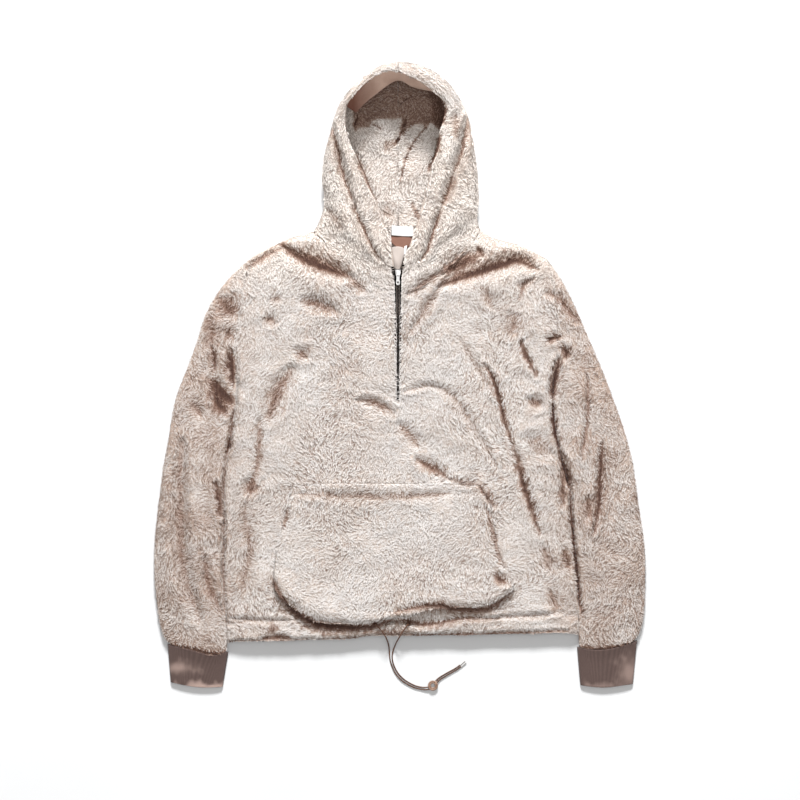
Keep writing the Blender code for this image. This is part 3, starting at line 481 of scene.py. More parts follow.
def smooth_copy(node, name, levels):
    """The node's solid as a welded mesh of quads, subdivided."""
    work = bmesh.new()
    work.from_mesh(nodes[node].data)
    bmesh.ops.remove_doubles(work, verts=work.verts, dist=0.01 * MM)
    bmesh.ops.join_triangles(work, faces=work.faces, angle_face_threshold=FLAT_UP_TO,
                             angle_shape_threshold=pi)
    sharp = work.edges.layers.float.new("crease_edge")
    for edge in work.edges:
        if edge.is_manifold and edge.calc_face_angle() > SHARP_FROM:
            edge[sharp] = SEAM_EDGE
    obj = from_work(name, work)
    coarse = obj.data
    divide = obj.modifiers.new("divide", "SUBSURF")
    divide.levels = divide.render_levels = levels
    graph = bpy.context.evaluated_depsgraph_get()
    done = bpy.data.meshes.new_from_object(obj.evaluated_get(graph))
    obj.modifiers.clear()
    obj.data = done
    done.name = name
    done.shade_smooth()
    bpy.data.meshes.remove(coarse)
    return obj


def give(obj, name, values):
    """Give each vertex a number that the materials read."""
    made = obj.data.attributes.new(name, "FLOAT", "POINT")
    made.data.foreach_set("value", np.asarray(values, np.float32))


# Maps over the plan: cells are MAP_STEP wide and cover the garment with a margin.

MARGIN = 0.06
MAP_LOW = np.array([cad_low.x - MARGIN, cad_low.y - MARGIN])
MAP_SIZE = (int((cad_high.x - cad_low.x + 2 * MARGIN) / MAP_STEP) + 1,
            int((cad_high.y - cad_low.y + 2 * MARGIN) / MAP_STEP) + 1)


def height_map(tree):
    """The highest point over each cell, and -1 where there is none."""
    out = np.full(MAP_SIZE, -1.0)
    down = Vector((0, 0, -1))
    for i in range(MAP_SIZE[0]):
        x = MAP_LOW[0] + i * MAP_STEP
        for j in range(MAP_SIZE[1]):
            hit = tree.ray_cast(Vector((x, MAP_LOW[1] + j * MAP_STEP, 1.0)), down)
            if hit[0] is not None:
                out[i, j] = hit[0].z
    return out


def blurred(field, reach):
    """Three box blurs, reach metres to each side."""
    cells = max(1, round(reach / MAP_STEP / 2))
    out = field.copy()
    for _ in range(3):
        for axis in (0, 1):
            padded = np.pad(out, [(cells + 1, cells) if a == axis else (0, 0) for a in (0, 1)], mode="edge")
            total = np.cumsum(padded, axis=axis)
            size = 2 * cells + 1
            upper = np.take(total, range(size, total.shape[axis]), axis=axis)
            lower = np.take(total, range(0, total.shape[axis] - size), axis=axis)
            out = (upper - lower) / size
    return out


def looked_up(field, points):
    at = (points[:, :2] - MAP_LOW) / MAP_STEP
    low = np.clip(np.floor(at).astype(int), 0, np.array(MAP_SIZE) - 2)
    part = np.clip(at - low, 0, 1)
    i, j = low.T
    a, b = part.T
    return ((1 - a) * (1 - b) * field[i, j] + a * (1 - b) * field[i + 1, j]
            + (1 - a) * b * field[i, j + 1] + a * b * field[i + 1, j + 1])


# Creases: half width, how much painted shade it gets, from 0 to 1 (which also shortens the pile there),
# depth, which side ends sharply (1 for the left, -1 for the right, 0 for neither), then the X and Y of each
# point of its line. Rows of depth 0 are painted shade alone.

CREASES = [
    (14.4, 0.95, 6, -1, -192, 213, -159, 196, -127, 183, -86, 169),
    (7.6, 0.8, 5, -1, -208, 225, -187, 212, -166, 199),
    (10.2, 0.4, 3, 0, -91, 169, -74, 157, -61, 145),
    (6.8, 0.5, 3, 0, -202, 218, -232, 203, -261, 184),
    (10.2, 0.5, 4, 0, -168, 128, -139, 122, -105, 108),
    (8.5, 0.42, 3, 0, -232, 99, -209, 94),
    (6.8, 0.3, 2, 0, -221, 130, -202, 133),
    (11, 0.45, 3, 0, -175, 43, -158, 31),
    (13.6, 0.5, 5, 0, -183, 13, -205, -21, -214, -45, -221, -76),
    (13.6, 0.14, 2, 0, -132, -8, -85, 14, -64, 6),
    (6.8, 0.5, 4, 0, -71, -40, -39, -48, -8, -64),
    (10.2, 0.35, 3, 0, -1, -82, 16, -99, 34, -122),
    (15.3, 0.5, 4, 0, -307, 132, -289, 116, -278, 105),
    (9.3, 0.4, 2, 0, -297, 77, -282, 67),
    (13.6, 0.25, 2, 0, -329, 98, -319, 74, -329, 52),
    (6, 0.6, 3, 0, -321, 48, -316, 30, -317, 9),
    (8.6, 0.95, 5, 1, -286, 42, -286, 16, -284, -16),
    (13, 0.85, 5, 1, -323, -9, -303, -28, -283, -46),
    (2.7, 1, 4, 0, -320, -5, -302, -24, -283, -44),
    (11, 0.75, 4, 0, -315, -32, -305, -52, -294, -62),
    (4, 0.5, 4, 0, -285, -56, -285, -77, -289, -110, -295, -135),
    (4.2, 0.8, 4, 0, -288, -104, -291, -118, -296, -130),
    (3.7, 0.32, 5, 0, -295, -135, -300, -178, -300, -237, -300, -297, -299, -356, -295, -402),
    (5.8, 0.62, 5, 0, -313, -178, -309, -212, -306, -240),
    (7.6, 0.4, 3, 0, -353, -45, -336, -69),
    (7.6, 0.4, 4, 0, -238, -72, -239, -110, -244, -152, -249, -178),
    (11.9, 0.62, 4, 0, -251, -173, -255, -201),
    (8.5, 0.28, 3, 0, -261, -215, -261, -254, -255, -293, -263, -334, -266, -368),
    (11, 0.22, 5, 0, -370, -110, -374, -178, -374, -263, -368, -327, -357, -373, -340, -419),
    (7.6, 0.3, 4, 0, -331, -307, -323, -361, -302, -402),
    (8.5, 0.4, 2, 0, -333, -336, -323, -348),
    (12.5, 0.95, 6, 1, 232, 182, 203, 196, 172, 188, 136, 176, 104, 166, 68, 154),
    (15.3, 0.75, 5, 0, 138, 208, 102, 190, 70, 176),
    (8.5, 0.45, 4, 0, 74, 178, 45, 159, 14, 139),
    (6.8, 0.7, 2, 0, 133, 220, 143, 203),
    (6.8, 0.4, 3, 0, 72, 156, 55, 130, 38, 106, 17, 74),
    (9.3, 0.3, 3, 0, 136, 156, 148, 139, 160, 118),
    (5.1, 0.5, 4, 0, 230, 169, 211, 156, 204, 128),
    (12.8, 0.35, 3, 0, 187, 105, 198, 89, 184, 71),
    (5.1, 0.75, 5, 0, 206, 65, 211, 43, 223, 20, 233, -1),
    (8.5, 0.4, 3, 0, 249, 142, 272, 132, 288, 110, 306, 91),
    (6.8, 0.75, 4, 0, 247, 57, 259, 64, 274, 67),
    (7.6, 0.75, 4, 0, 274, 50, 284, 40, 278, 31),
    (7.8, 0.95, 6, 0, 271, 31, 266, 3, 261, -21, 259, -42),
    (4.8, 1, 6, 0, 259, -42, 261, -69, 264, -93, 272, -127),
    (7.1, 0.85, 5, 0, 272, -127, 278, -149, 286, -173, 291, -193),
    (5.4, 0.5, 3, 0, 274, -157, 278, -195, 276, -222),
    (4.1, 0.8, 5, 0, 291, -193, 291, -232, 295, -280, 300, -327, 305, -371, 312, -405),
    (7.6, 0.55, 2, 0, 278, -293, 283, -310, 286, -329),
    (10.2, 0.5, 4, 0, 220, -40, 240, -50),
    (5.1, 0.85, 6, 0, 143, 20, 159, -3, 169, -38, 181, -84, 193, -122),
    (6.6, 0.88, 7, 0, 193, -122, 203, -157, 215, -195, 227, -232, 238, -269),
    (5.4, 0.22, 2, 0, 101, 64, 133, 13, 169, -38),
    (6, 0.25, 3, 0, 7, -26, 51, -16, 94, -37, 130, -96, 170, -161),
    (4.6, 0.34, 5, 0, 320, 4, 321, -50, 316, -95, 308, -142),
    (6.1, 0.65, 5, 0, 344, -110, 342, -161, 339, -212, 330, -266),
    (11.9, 0.35, 3, 0, 322, -208, 320, -241),
    (9.3, 0.38, 3, 0, 245, -290, 255, -331),
    (9.3, 0.38, 3, 0, 257, -365, 269, -402),
    (18.7, 0.25, 3, 0, 218, -106, 254, -132),
    (8.5, 0.65, 5, 0, 29, -142, 55, -156, 84, -174),
    (5.4, 0.42, 3, 0, 84, -174, 108, -181, 135, -184),
    (5.8, 0.6, 3, 0, 135, -184, 147, -201, 164, -222),
    (7.6, 0.32, 2, 0, -173, -200, -93, -203, 0, -205, 85, -201),
    (5.1, 0.35, 2, 0, -188, -222, -197, -263),
    (5.4, 0.42, 2, 0, 147, -222, 157, -263, 165, -302, 179, -329),
    (7.1, 0.75, 3, 0, 159, -336, 182, -353),
    (7.5, 0.8, 2, 1, -10, -400, 34, -390, 68, -388, 94, -395, 136, -397, 164, -388, 192, -366),
    (9.3, 0.95, 3, 1, -218, -346, -195, -382, -170, -404, -139, -421, -93, -426, -51, -426, -15, -415),
    (6.4, 0.65, 4, 1, -30, -418, 4, -414, 34, -421, 68, -419, 106, -412, 165, -412),
    (4.4, 0.2, 3, 0, -289, -412, -234, -416, -187, -417),
    (4.4, 0.2, 3, 0, 157, -412, 221, -409, 281, -402),
    (6.5, 0.62, 4, 0, -238, -449, -212, -444, -184, -447),
    (10.2, 0.5, 2, 0, -224, -433, -207, -429),
    (5.4, 0.6, 2, 0, -289, -453, -170, -453, -85, -450, 0, -445, 136, -441, 286, -434),
    (6.5, 0.6, 6, 1, -115, 421, -107, 397, -102, 375, -98, 353, -91, 329, -79, 295),
    (4.8, 0.58, 6, 1, -79, 295, -69, 271, -57, 246, -49, 224, -32, 196),
    (6.8, 0.5, 6, -1, 114, 434, 109, 400, 99, 366, 89, 341),
    (7.5, 0.58, 6, -1, 89, 341, 79, 312, 70, 288),
    (4.8, 0.6, 6, -1, 70, 288, 62, 264, 53, 234, 46, 213, 34, 196),
    (5.1, 0.42, 3, 0, -73, 383, -68, 358, -57, 332, -40, 300),
    (8.5, 0.3, 2, 0, 94, 441, 96, 400),
    (8.5, 0.25, 2, 0, -122, 285, -98, 251),
    (2.2, 0.95, 3, 0, -7, 455, 10, 472, 29, 479),
    (2.2, 0.8, 5, 0, 45, 437, 43, 421, 24, 396, 14, 376, 7, 349, 2, 331),
    (5.4, 0.9, 4, 0, 12, 444, 9, 430, 4, 418),
    (2.4, 0.95, 5, 0, 8, 425, -1, 405, -9, 391),
    (10.2, 0.35, 2, 0, -28, 388, -8, 400),
    (3.4, 0.5, 3, 0, -47, 429, -29, 419),
    (4.2, 0.75, 4, 0, 68, 410, 67, 400, 64, 384, 55, 365, 49, 348),
    (4.1, 0.5, 3, 0, 19, 295, 33, 264),
    (10.2, 0.3, 2, 0, -25, 292, -17, 271),
    (6, 0.9, 0, 0, 74, 462, 74, 438, 70, 422),
    (3.6, 0.95, 0, 0, -70, 448, -75, 434, -76, 418),
    (11, 0.42, 0, 0, -44, -436, -15, -438, 18, -434),
    (5.6, 0.95, 3, 0, -45, -420, -39, -424),
    (5.6, 0.95, 3, 0, 12, -419, 18, -423),
    (3.4, 0.75, 0, 0, -396, -455, -357, -464, -318, -473, -294, -468),
    (3.4, 0.75, 0, 0, 405, -449, 374, -459, 340, -465, 302, -460),
]

CRISP_WIDTH = 6.0           # narrower creases have crisper edges
RAGGED = 0.22               # how much a crease's edges wander
SHARP_SIDE, SOFT_SIDE, EVEN_SIDE = 1.7, 0.75, 0.95    # how fast its shade ends on each kind of side


def line_distance(points, line):
    """How far each point is from the line, how far along it is nearest, from 0 to 1, and on which side."""
    best = np.full(len(points), np.inf)
    along = np.zeros(len(points))
    side = np.zeros(len(points))
    last = len(line) - 1
    for k, (a, b) in enumerate(zip(line, line[1:])):
        d = b - a
        off = points - a
        t = np.clip((off @ d) / (d @ d), 0, 1)
        gap = np.linalg.norm(off - t[:, None] * d, axis=1)
        nearer = gap < best
        best[nearer] = gap[nearer]
        along[nearer] = (k + t[nearer]) / last
        side[nearer] = np.sign(d[0] * off[nearer, 1] - d[1] * off[nearer, 0])
    return best, along, side


def crease_fields(points):
    """The rise or fall of the cloth in its creases, and the painted shade in them."""
    shift = np.zeros(len(points))
    crease_shade = np.zeros(len(points))
    ragged = 1 + RAGGED * waves(points, 3, 0.008, 0.03)
    for width, most, depth, crisp, *line in CREASES:
        line = smooth_route(np.reshape(line, (-1, 2)), 4) * MM
        reach = 4 * width * MM
        near = ((points[:, :2] > line.min(0) - reach) & (points[:, :2] < line.max(0) + reach)).all(1)
        if not near.any():
            continue
        gap, along, side = line_distance(points[near, :2], line)
        swell = np.sin(pi * np.clip(along, 0.001, 0.999)) ** 0.5
        across = gap / (width * MM * (0.45 + 0.55 * swell))
        shift[near] -= depth * MM * (np.exp(-across ** 2) - 0.5 * np.exp(-(across - 2) ** 2))
        other = SOFT_SIDE if crisp else EVEN_SIDE
        across *= ragged[near] * np.where(side * crisp > 0, SHARP_SIDE, other)
        core = np.exp(-(across / 0.5) ** 2)
        halo = np.exp(-across ** (3.0 if width < CRISP_WIDTH else 1.7))
        crease_shade[near] = np.maximum(crease_shade[near], most * (0.4 * core + 0.68 * halo) * (0.35 + 0.65 * swell))
    return shift, crease_shade


def waves(points, seed, low, high, count=14):
    """A smooth field from -1 to 1 or so, of plane waves between two lengths in metres."""
    draw = np.random.default_rng(seed)
    total = np.zeros(len(points))
    for _ in range(count):
        turn = draw.uniform(0, 2 * pi)
        length = np.exp(draw.uniform(np.log(low), np.log(high)))
        k = 2 * pi / length * np.array([cos(turn), sin(turn)])
        total += np.sin(points[:, :2] @ k + draw.uniform(0, 2 * pi))
    return total / np.sqrt(count / 2)


# The cloth of each fleece piece.

Plan = namedtuple("Plan", "covered slope relief")
FLEECE = ("front_panel", "back_panel", "sleeve_left", "sleeve_right", "hood_left", "hood_right", "pocket")
OUTLINE_BLUR = 0.016        # metres over which the outline counts as near
RELIEF_BLUR = 0.03          # and over which the ground that hollows are measured from is evened
PILE_SHARE = 0.55           # the most of a thin wall that the pile may take
WALL_LOOK = 0.03            # how far in the wall's other side is looked for
WALL = 0.008                # and how thick the wall is where it isn't found
SWELL = 0.6 * MM            # soft unevenness all over the cloth
RISE_LIMIT = 3.5 * MM       # how far a crease may lift the cloth,
SINK_LIMIT = 0.65           # and the share of the pile's depth that it may sink by


def make_cloths():
    whole = tree_of(*(nodes[n] for n in [*FLEECE, "cuff_left", "cuff_right"]))
    top = height_map(whole)
    on_it = (top > -0.5).astype(float)
    covered = blurred(on_it, OUTLINE_BLUR)
    slope = np.gradient(covered, MAP_STEP)
    cloths = {}
    for node in FLEECE:
        obj = smooth_copy(node, node.replace("_panel", "") + "_cloth", 2)
        points, _ = raw_mesh(obj)
        normals = vertex_normals(obj)
        own = tree_of(obj)
        depth = np.zeros(len(points))
        up = np.clip(normals[:, 2] * 2.0, 0, 1)
        for k in np.nonzero(up > 0)[0]:
            start = Vector(points[k] - normals[k] * 0.05 * MM)
            hit = own.ray_cast(start, Vector(-normals[k]), WALL_LOOK)
            thick = hit[3] if hit[0] is not None else WALL
            depth[k] = min(PILE_DEPTH, PILE_SHARE * thick) * up[k]
        out = points.copy()
        out[:, 2] -= depth
        soft = np.clip(depth / PILE_DEPTH, 0, 1)
        shift = crease_fields(points)[0] + SWELL * waves(points, 5, 0.03, 0.12)
        out[:, 2] += np.clip(shift, -SINK_LIMIT * depth, RISE_LIMIT) * soft
        inward, weight = outline_near(points, covered, slope)
        out[:, :2] += inward * weight[:, None] * EDGE_PULL
        put_points(obj, out)
        cloths[node] = obj
    relief = blurred(np.maximum(top, 0), RELIEF_BLUR) / np.maximum(blurred(on_it, RELIEF_BLUR), 0.2)
    return cloths, Plan(covered, slope, relief)


def outline_near(points, covered, slope):
    """The way in from the outline in plan, and from 0 inside to 1 at the outline."""
    inward = np.stack([looked_up(g, points) for g in slope], axis=1)
    size = np.linalg.norm(inward, axis=1, keepdims=True)
    weight = np.clip((1.0 - looked_up(covered, points)) * 2.0, 0, 1)
    return inward / np.maximum(size, 1e-6), weight


OUTER_SHADE_FROM = (0.235, 0.315)    # how far from the middle the painted shade grows, in metres
OUTER_SHADE = (0.025, 0.17)     # how much painted shade that gives everywhere, and more of it out there
PATCHES = 0.16              # and how much it varies
HOLLOW = 0.1                # the most shade in a hollow,
HOLLOW_DEEP = 0.016         # which is how deep for that, in metres
HOLLOW_END = 0.2            # the hood above this Y has no such shade,
HOLLOW_FADE = 0.05          # and it fades out on the way there
# The hood's back inside this outline, lower than HOOD_FLOOR, is painted as in the shadow of its rim.
HOOD_SHADOW = [(-76, 418), (-70, 424), (-52, 424), (-49, 433), (-40, 437), (-19, 438), (2, 440), (6, 432),
               (4, 412), (9, 408), (14, 421), (21, 426), (31, 429), (41, 430), (44, 419), (48, 424),
               (51, 434), (62, 427), (66, 419), (70, 420), (76, 432), (90, 445), (80, 500), (0, 512),
               (-40, 500), (-80, 460)]
HOOD_SHADE = (0.50, 0.22)   # painted shadow under the hood's rim, and what is added at its right end
HOOD_FLOOR = 45.0 * MM      # the hood's back is lower than this
SHADOW_SOFT = 2.5 * MM


def inside_outline(points, outline):
    """How deep inside a closed outline in plan each point is, in metres, negative outside."""
    ring = np.array([*outline, outline[0]], float) * MM
    gap = line_distance(points[:, :2], ring)[0]
    x, y = points[:, 0], points[:, 1]
    inside = np.zeros(len(points), bool)
    for (ax, ay), (bx, by) in zip(ring, ring[1:]):
        if ay != by:
            inside ^= ((ay > y) != (by > y)) & (x < (bx - ax) * (y - ay) / (by - ay) + ax)
    return np.where(inside, gap, -gap)


def pile_shade(points, plan):
    """How much painted shade each point gets, from 0 to 1: in hollows, in creases, under the hood's rim and
    towards the outer sides.
    """
    x, y, z = points.T
    below_hood = np.clip((HOLLOW_END - y) / HOLLOW_FADE, 0, 1)
    hollow = HOLLOW * below_hood * np.clip((looked_up(plan.relief, points) - z) / HOLLOW_DEEP - 0.25, 0, 1)
    low, high = OUTER_SHADE_FROM
    outer_shade = OUTER_SHADE[0] + OUTER_SHADE[1] * np.clip((np.abs(x) - low) / (high - low), 0, 1)
    outer_shade *= np.clip(1 + PATCHES * waves(points, 21, 0.05, 0.2), 0, 2)
    shade = np.maximum(crease_fields(points)[1], hollow)
    under = np.clip(inside_outline(points, HOOD_SHADOW) / SHADOW_SOFT + 0.5, 0, 1)
    far = HOOD_SHADE[0] + HOOD_SHADE[1] * np.clip((x - 0.045) / 0.02, 0, 1)
    shade = np.maximum(shade, far * under * (z < HOOD_FLOOR))
    return np.clip(shade + outer_shade, 0, 1)


# The pile: each tuft is a bent leaf of two triangles, and tufts lie in strands along the nap.

TUFTS_A_SQUARE_METRE = 400e3
TUFT_LONG = (3.8, 6.0)      # millimetres
TUFT_WIDE = (0.9, 1.4)
TUFT_LIE = (60, 6)          # degrees from upright, and how much that varies
LIE_LIMITS = (15, 76)
TUFT_ROOM = 0.007           # metres that have to be free above a tuft
LOWEST_ROOT = 1.2 * MM
LOWEST_TUFT = 0.3 * MM
STRAND_CELL = 1.2 * MM      # how wide a strand is
STRAND_REACH = 2.7 * MM     # and how far it runs each way
STRAND_CRISP = 3.0          # how strongly a strand stands out from the gaps beside it
NAP_SWIRL = ((0.85, 11, 0.09, 0.3), (0.3, 12, 0.02, 0.05))    # radians, seed, shortest and longest wave
MIDDLE_X = -3.0 * MM        # of the zip

# The bare strip over the zip and up to the label: its height on the plan, its left and its right edge.
BARE = [(-50, -3, -3), (-46, -5.5, -0.5), (-36, -5.2, -0.9), (60, -5.2, -0.9), (100, -5.4, -0.6),
        (109, -7.6, 1.8), (150, -8.6, 2.6), (170, -10.5, 4.0), (186, -13, 6.5), (204, -14, 7.2),
        (214, -15, 10), (218, -14, 18), (222, -14, 20.8), (251.5, -14.2, 22.4), (255.5, -3, -3)]
BARE_Y, BARE_LEFT, BARE_RIGHT = np.array(BARE).T * MM
BARE_UNDER = 0.04           # only what is lower than this keeps off it


def unit(vectors):
    return vectors / np.maximum(np.linalg.norm(vectors, axis=1, keepdims=True), 1e-9)


def along_surface(vectors, up):
    return vectors - up * (vectors * up).sum(1, keepdims=True)


def bare_edges(points):
    y = points[:, 1]
    return np.interp(y, BARE_Y, BARE_LEFT), np.interp(y, BARE_Y, BARE_RIGHT)


def scatter(cloth, draw):
    """Roots for the tufts all over the outside of a cloth, and the way up from it at each."""
    points, triangles = raw_mesh(cloth)
    normals = vertex_normals(cloth)
    a, b, c = (points[triangles[:, k]] for k in range(3))
    cross = np.cross(b - a, c - a)
    area = np.linalg.norm(cross, axis=1) / 2
    facing = cross[:, 2] / np.maximum(2 * area, 1e-12)
    area = np.where(facing > -0.25, area * np.clip(0.55 + 0.9 * facing, 0.2, 1), 0.0)
    count = int(area.sum() * TUFTS_A_SQUARE_METRE)
    pick = draw.choice(len(area), count, p=area / area.sum())
    u, v = draw.random((2, count, 1))
    u, v = np.where(u + v > 1, 1 - u, u), np.where(u + v > 1, 1 - v, v)
    w = 1 - u - v
    i, j, k = triangles[pick].T
    return [w * field[i] + u * field[j] + v * field[k] for field in (points, normals)]


def strand_tone(points, heading, grain):
    """From 0 in the gaps between strands to 1 on them."""
    total = np.zeros(len(points))
    steps = np.linspace(-STRAND_REACH, STRAND_REACH, 7)
    for step in steps:
        cell = np.floor((points[:, :2] + step * heading) / STRAND_CELL).astype(int) % len(grain)
        total += grain[cell[:, 0], cell[:, 1]]
    return np.clip(0.5 + (total / len(steps) - 0.5) * STRAND_CRISP, 0, 1)


def clear_of_others(root, up, keep, others):
    """Of the tufts to keep, those with room to stand; a tuft is set steeper where that gives it room."""
    steeper = unit(up + np.array([0, 0, 1.2]))
    for n in np.nonzero(keep)[0]:
        for way in (up[n], steeper[n]):
            keep[n] = others.ray_cast(Vector(root[n] + way * 0.8 * MM), Vector(way), TUFT_ROOM)[0] is None
            if keep[n]:
                up[n] = way
                break
    return keep


def nap(root, left, right, plan):
    """The way that the pile lies in plan: in slow swirls about the way to the hem, towards the bare
    strip beside it, and not out over the outline. Also on which side of the strip each tuft is, and
    how near it is to the strip and to the outline."""
    turn = -pi / 2 + sum(size * waves(root, *rest) for size, *rest in NAP_SWIRL)
    heading = np.stack([np.cos(turn), np.sin(turn)], axis=1)
    side = np.where(root[:, 0] < (left + right) / 2, 1.0, -1.0)
    gap = np.where(side > 0, left - root[:, 0], root[:, 0] - right)
    near = np.clip(1.6 - gap / 0.009, 0, 1) * (right > left) * (root[:, 2] < BARE_UNDER)
    heading[:, 0] += 1.4 * side * near
    inward, rim = outline_near(root, plan.covered, plan.slope)
    out = np.minimum((heading * inward).sum(1), 0)
    return unit(heading - inward * (0.9 * out * rim)[:, None]), side, near, rim


def strands(root, heading, seed):
    """How high on a strand each tuft is, the way across the strands, and how much it leans that way."""
    grain = np.random.default_rng(seed).random((1024, 1024))
    across = np.stack([-heading[:, 1], heading[:, 0]], axis=1)
    tone, ahead, behind = (strand_tone(root[:, :2] + across * step, heading, grain)
                           for step in (0.0, STRAND_CELL, -STRAND_CELL))
    return tone, across, ahead - behind


def make_pile(node, cloth, others, plan, seed):
    draw = np.random.default_rng(seed)
    root, up = scatter(cloth, draw)
    up = unit(up)
    left, right = bare_edges(root)
    off_strip = (root[:, 0] < left) | (root[:, 0] > right) | (root[:, 2] > BARE_UNDER)
    keep = clear_of_others(root, up, (root[:, 2] > LOWEST_ROOT) & off_strip, others)
    root, up, left, right = root[keep], up[keep], left[keep], right[keep]
    count = len(root)

    heading, side, near, rim = nap(root, left, right, plan)
    tone, across, lead = strands(root, heading, seed + 50)
    deep = pile_shade(root, plan)
    # Painted shade: away from creases the gaps between strands are evened in calm patches, and a crease's
    # painted shade is stronger in the gaps than on the strands.
    calm = np.clip(0.2 + 0.4 * waves(root, 41, 0.12, 0.35), 0, 0.75)
    tone += (1 - tone) * calm * np.clip(1 - 4 * deep, 0, 1)
    flat = np.column_stack([heading, np.zeros(count)]) + draw.normal(0, 0.2, (count, 3))
    lean = unit(along_surface(flat, up))
    deep = np.clip(deep * (1.3 - 0.75 * tone * (1 - 0.6 * deep)), 0, 1)

    # Each tuft bends: its first half stands up from the cloth, and its second half lies along it.
    long = draw.uniform(*TUFT_LONG, count) * MM * (0.72 + 0.4 * tone)
    long *= (1 - 0.4 * deep) * (1 - 0.4 * rim) * (1 + 0.5 * near)
    wide = draw.uniform(*TUFT_WIDE, count) * MM
    lie = draw.normal(*TUFT_LIE, count) + 8 * (1 - tone) + 8 * rim
    lie = np.radians(np.clip(lie, *LIE_LIMITS))[:, None]
    first = up * np.cos(lie * 0.6) + lean * np.sin(lie * 0.6)
    second = up * np.cos(lie * 1.25) + lean * np.sin(lie * 1.25)
    mid = root + first * long[:, None] * 0.5
    tip = mid + second * long[:, None] * 0.5
    gather = along_surface(np.column_stack([across, np.zeros(count)]), up) * lead[:, None]
    tip += gather * 1.0 * MM
    mid += gather * 0.4 * MM

    # Tips stay off the bare strip.
    for part in (mid, tip):
        left, right = bare_edges(part)
        inside = (part[:, 0] > left) & (part[:, 0] < right) & (part[:, 2] < BARE_UNDER)
        edge = np.where(side > 0, left, right) + draw.normal(0, 0.5 * MM, count) - side * 0.2 * MM
        part[:, 0] = np.where(inside, edge, part[:, 0])

    # The leaf's broad side faces up, and it is shaded as the cloth under it more than as a leaf.
    sideways = unit(np.cross(second, up) + draw.normal(0, 0.3, (count, 3)))
    sideways = unit(sideways - first * (sideways * first).sum(1, keepdims=True))
    face = np.cross(sideways, first)
    sideways *= np.where((face * up).sum(1, keepdims=True) < 0, -1.0, 1.0)
    broad = unit(up + np.array([0, 0, 1.0 if node.startswith("hood") else 0.5]))
    shade = unit(0.78 * broad + 0.22 * unit(np.cross(sideways, second)))
    half = sideways * wide[:, None] / 2
    verts = np.stack([root, mid + half, mid - half, tip], axis=1)
    verts[..., 2] = np.maximum(verts[..., 2], LOWEST_TUFT)
    tone = np.clip(0.88 * tone + 0.12 * draw.random(count), 0, 1)
    fields = (verts, shade, tone, deep, painted_hood_light(root))
    if node != "front_panel":
        return [blades(node + "_pile", *fields)]
    west = root[:, 0] < MIDDLE_X
    return [blades(node + "_pile_" + name, *(field[mask] for field in fields))
            for name, mask in (("left", west), ("right", ~west))]


def painted_hood_light(points):
    """How much painted light brightens the pile from the shoulders up, from 0 to 1: less inside the hood and
    on its top rim.
    """
    x, y, z = points.T
    inside = np.clip((0.075 - np.abs(x)) / 0.025, 0, 1) * (y > 0.26) * (z < HOOD_FLOOR)
    rim = np.clip((y - 0.43) / 0.03, 0, 1) * (z > HOOD_FLOOR)
    return np.clip((y - 0.14) / 0.07, 0, 1) * (1 - 0.4 * inside) * (1 - 0.8 * rim)


def blades(name, verts, shade, tone, deep, painted_light):
    """The mesh of a pile, with what its material reads: shade is both the normal and the way it faces."""
    count = len(verts)
    data = bpy.data.meshes.new(name)
    data.vertices.add(count * 4)
    data.vertices.foreach_set("co", verts.astype(np.float32).ravel())
    base = np.arange(count, dtype=np.int32)[:, None] * 4
    data.loops.add(count * 6)
    data.loops.foreach_set("vertex_index", (base + np.array([0, 1, 2, 2, 1, 3], np.int32)).ravel())
    data.polygons.add(count * 2)
    data.polygons.foreach_set("loop_start", np.arange(count * 2, dtype=np.int32) * 3)
    data.update(calc_edges=True)
    data.shade_smooth()
    obj = placed(name, data)
    give(obj, "tip", np.tile([0.0, 0.55, 0.55, 1.0], count))
    give(obj, "strand", np.repeat(tone, 4))
    give(obj, "deep", np.repeat(deep, 4))
    give(obj, "painted_light", np.repeat(painted_light, 4))
    for use in ("custom_normal", "facing"):
        made = data.attributes.new(use, "FLOAT_VECTOR", "POINT")
        made.data.foreach_set("vector", np.repeat(shade, 4, axis=0).astype(np.float32).ravel())
    return seat(obj, PILE, "fleece")


IN_THE_WAY = ("neck_label", "zip_slider", "zip_teeth", "hood_facing", "cuff_left", "cuff_right")


def make_fleece():
    cloths, plan = make_cloths()
    piles = {}
    for k, (node, cloth) in enumerate(cloths.items()):
        others = tree_of(*(c for n, c in cloths.items() if n != node), *(nodes[n] for n in IN_THE_WAY))
        piles[node] = make_pile(node, cloth, others, plan, 100 + k)
        points, _ = raw_mesh(cloth)
        # The cloth under the pile gets the same painted shade, a little stronger.
        give(cloth, "deep", np.clip(1.15 * pile_shade(points, plan), 0, 1))
        seat(cloth, GROUND, "fleece", node)
    return cloths, piles


# Rib cuffs.

RIB_PITCH = 2.1 * MM
RIB_DEEP = 0.11 * MM
RIB_SINK = 0.15 * MM
CUFF_EDGE = 9 * MM          # how wide the turned edge is, which is paler
# The rubbed, paler part of each cuff: its middle and its reach, in metres, how pale it is, and how
# pale the turned edge is.
CUFF_WORN = {"left": (-0.379, -0.498, 0.022, 0.008, 0.6, 1.0),
             "right": (0.392, -0.507, 0.016, 0.022, 0.5, 0.35)}


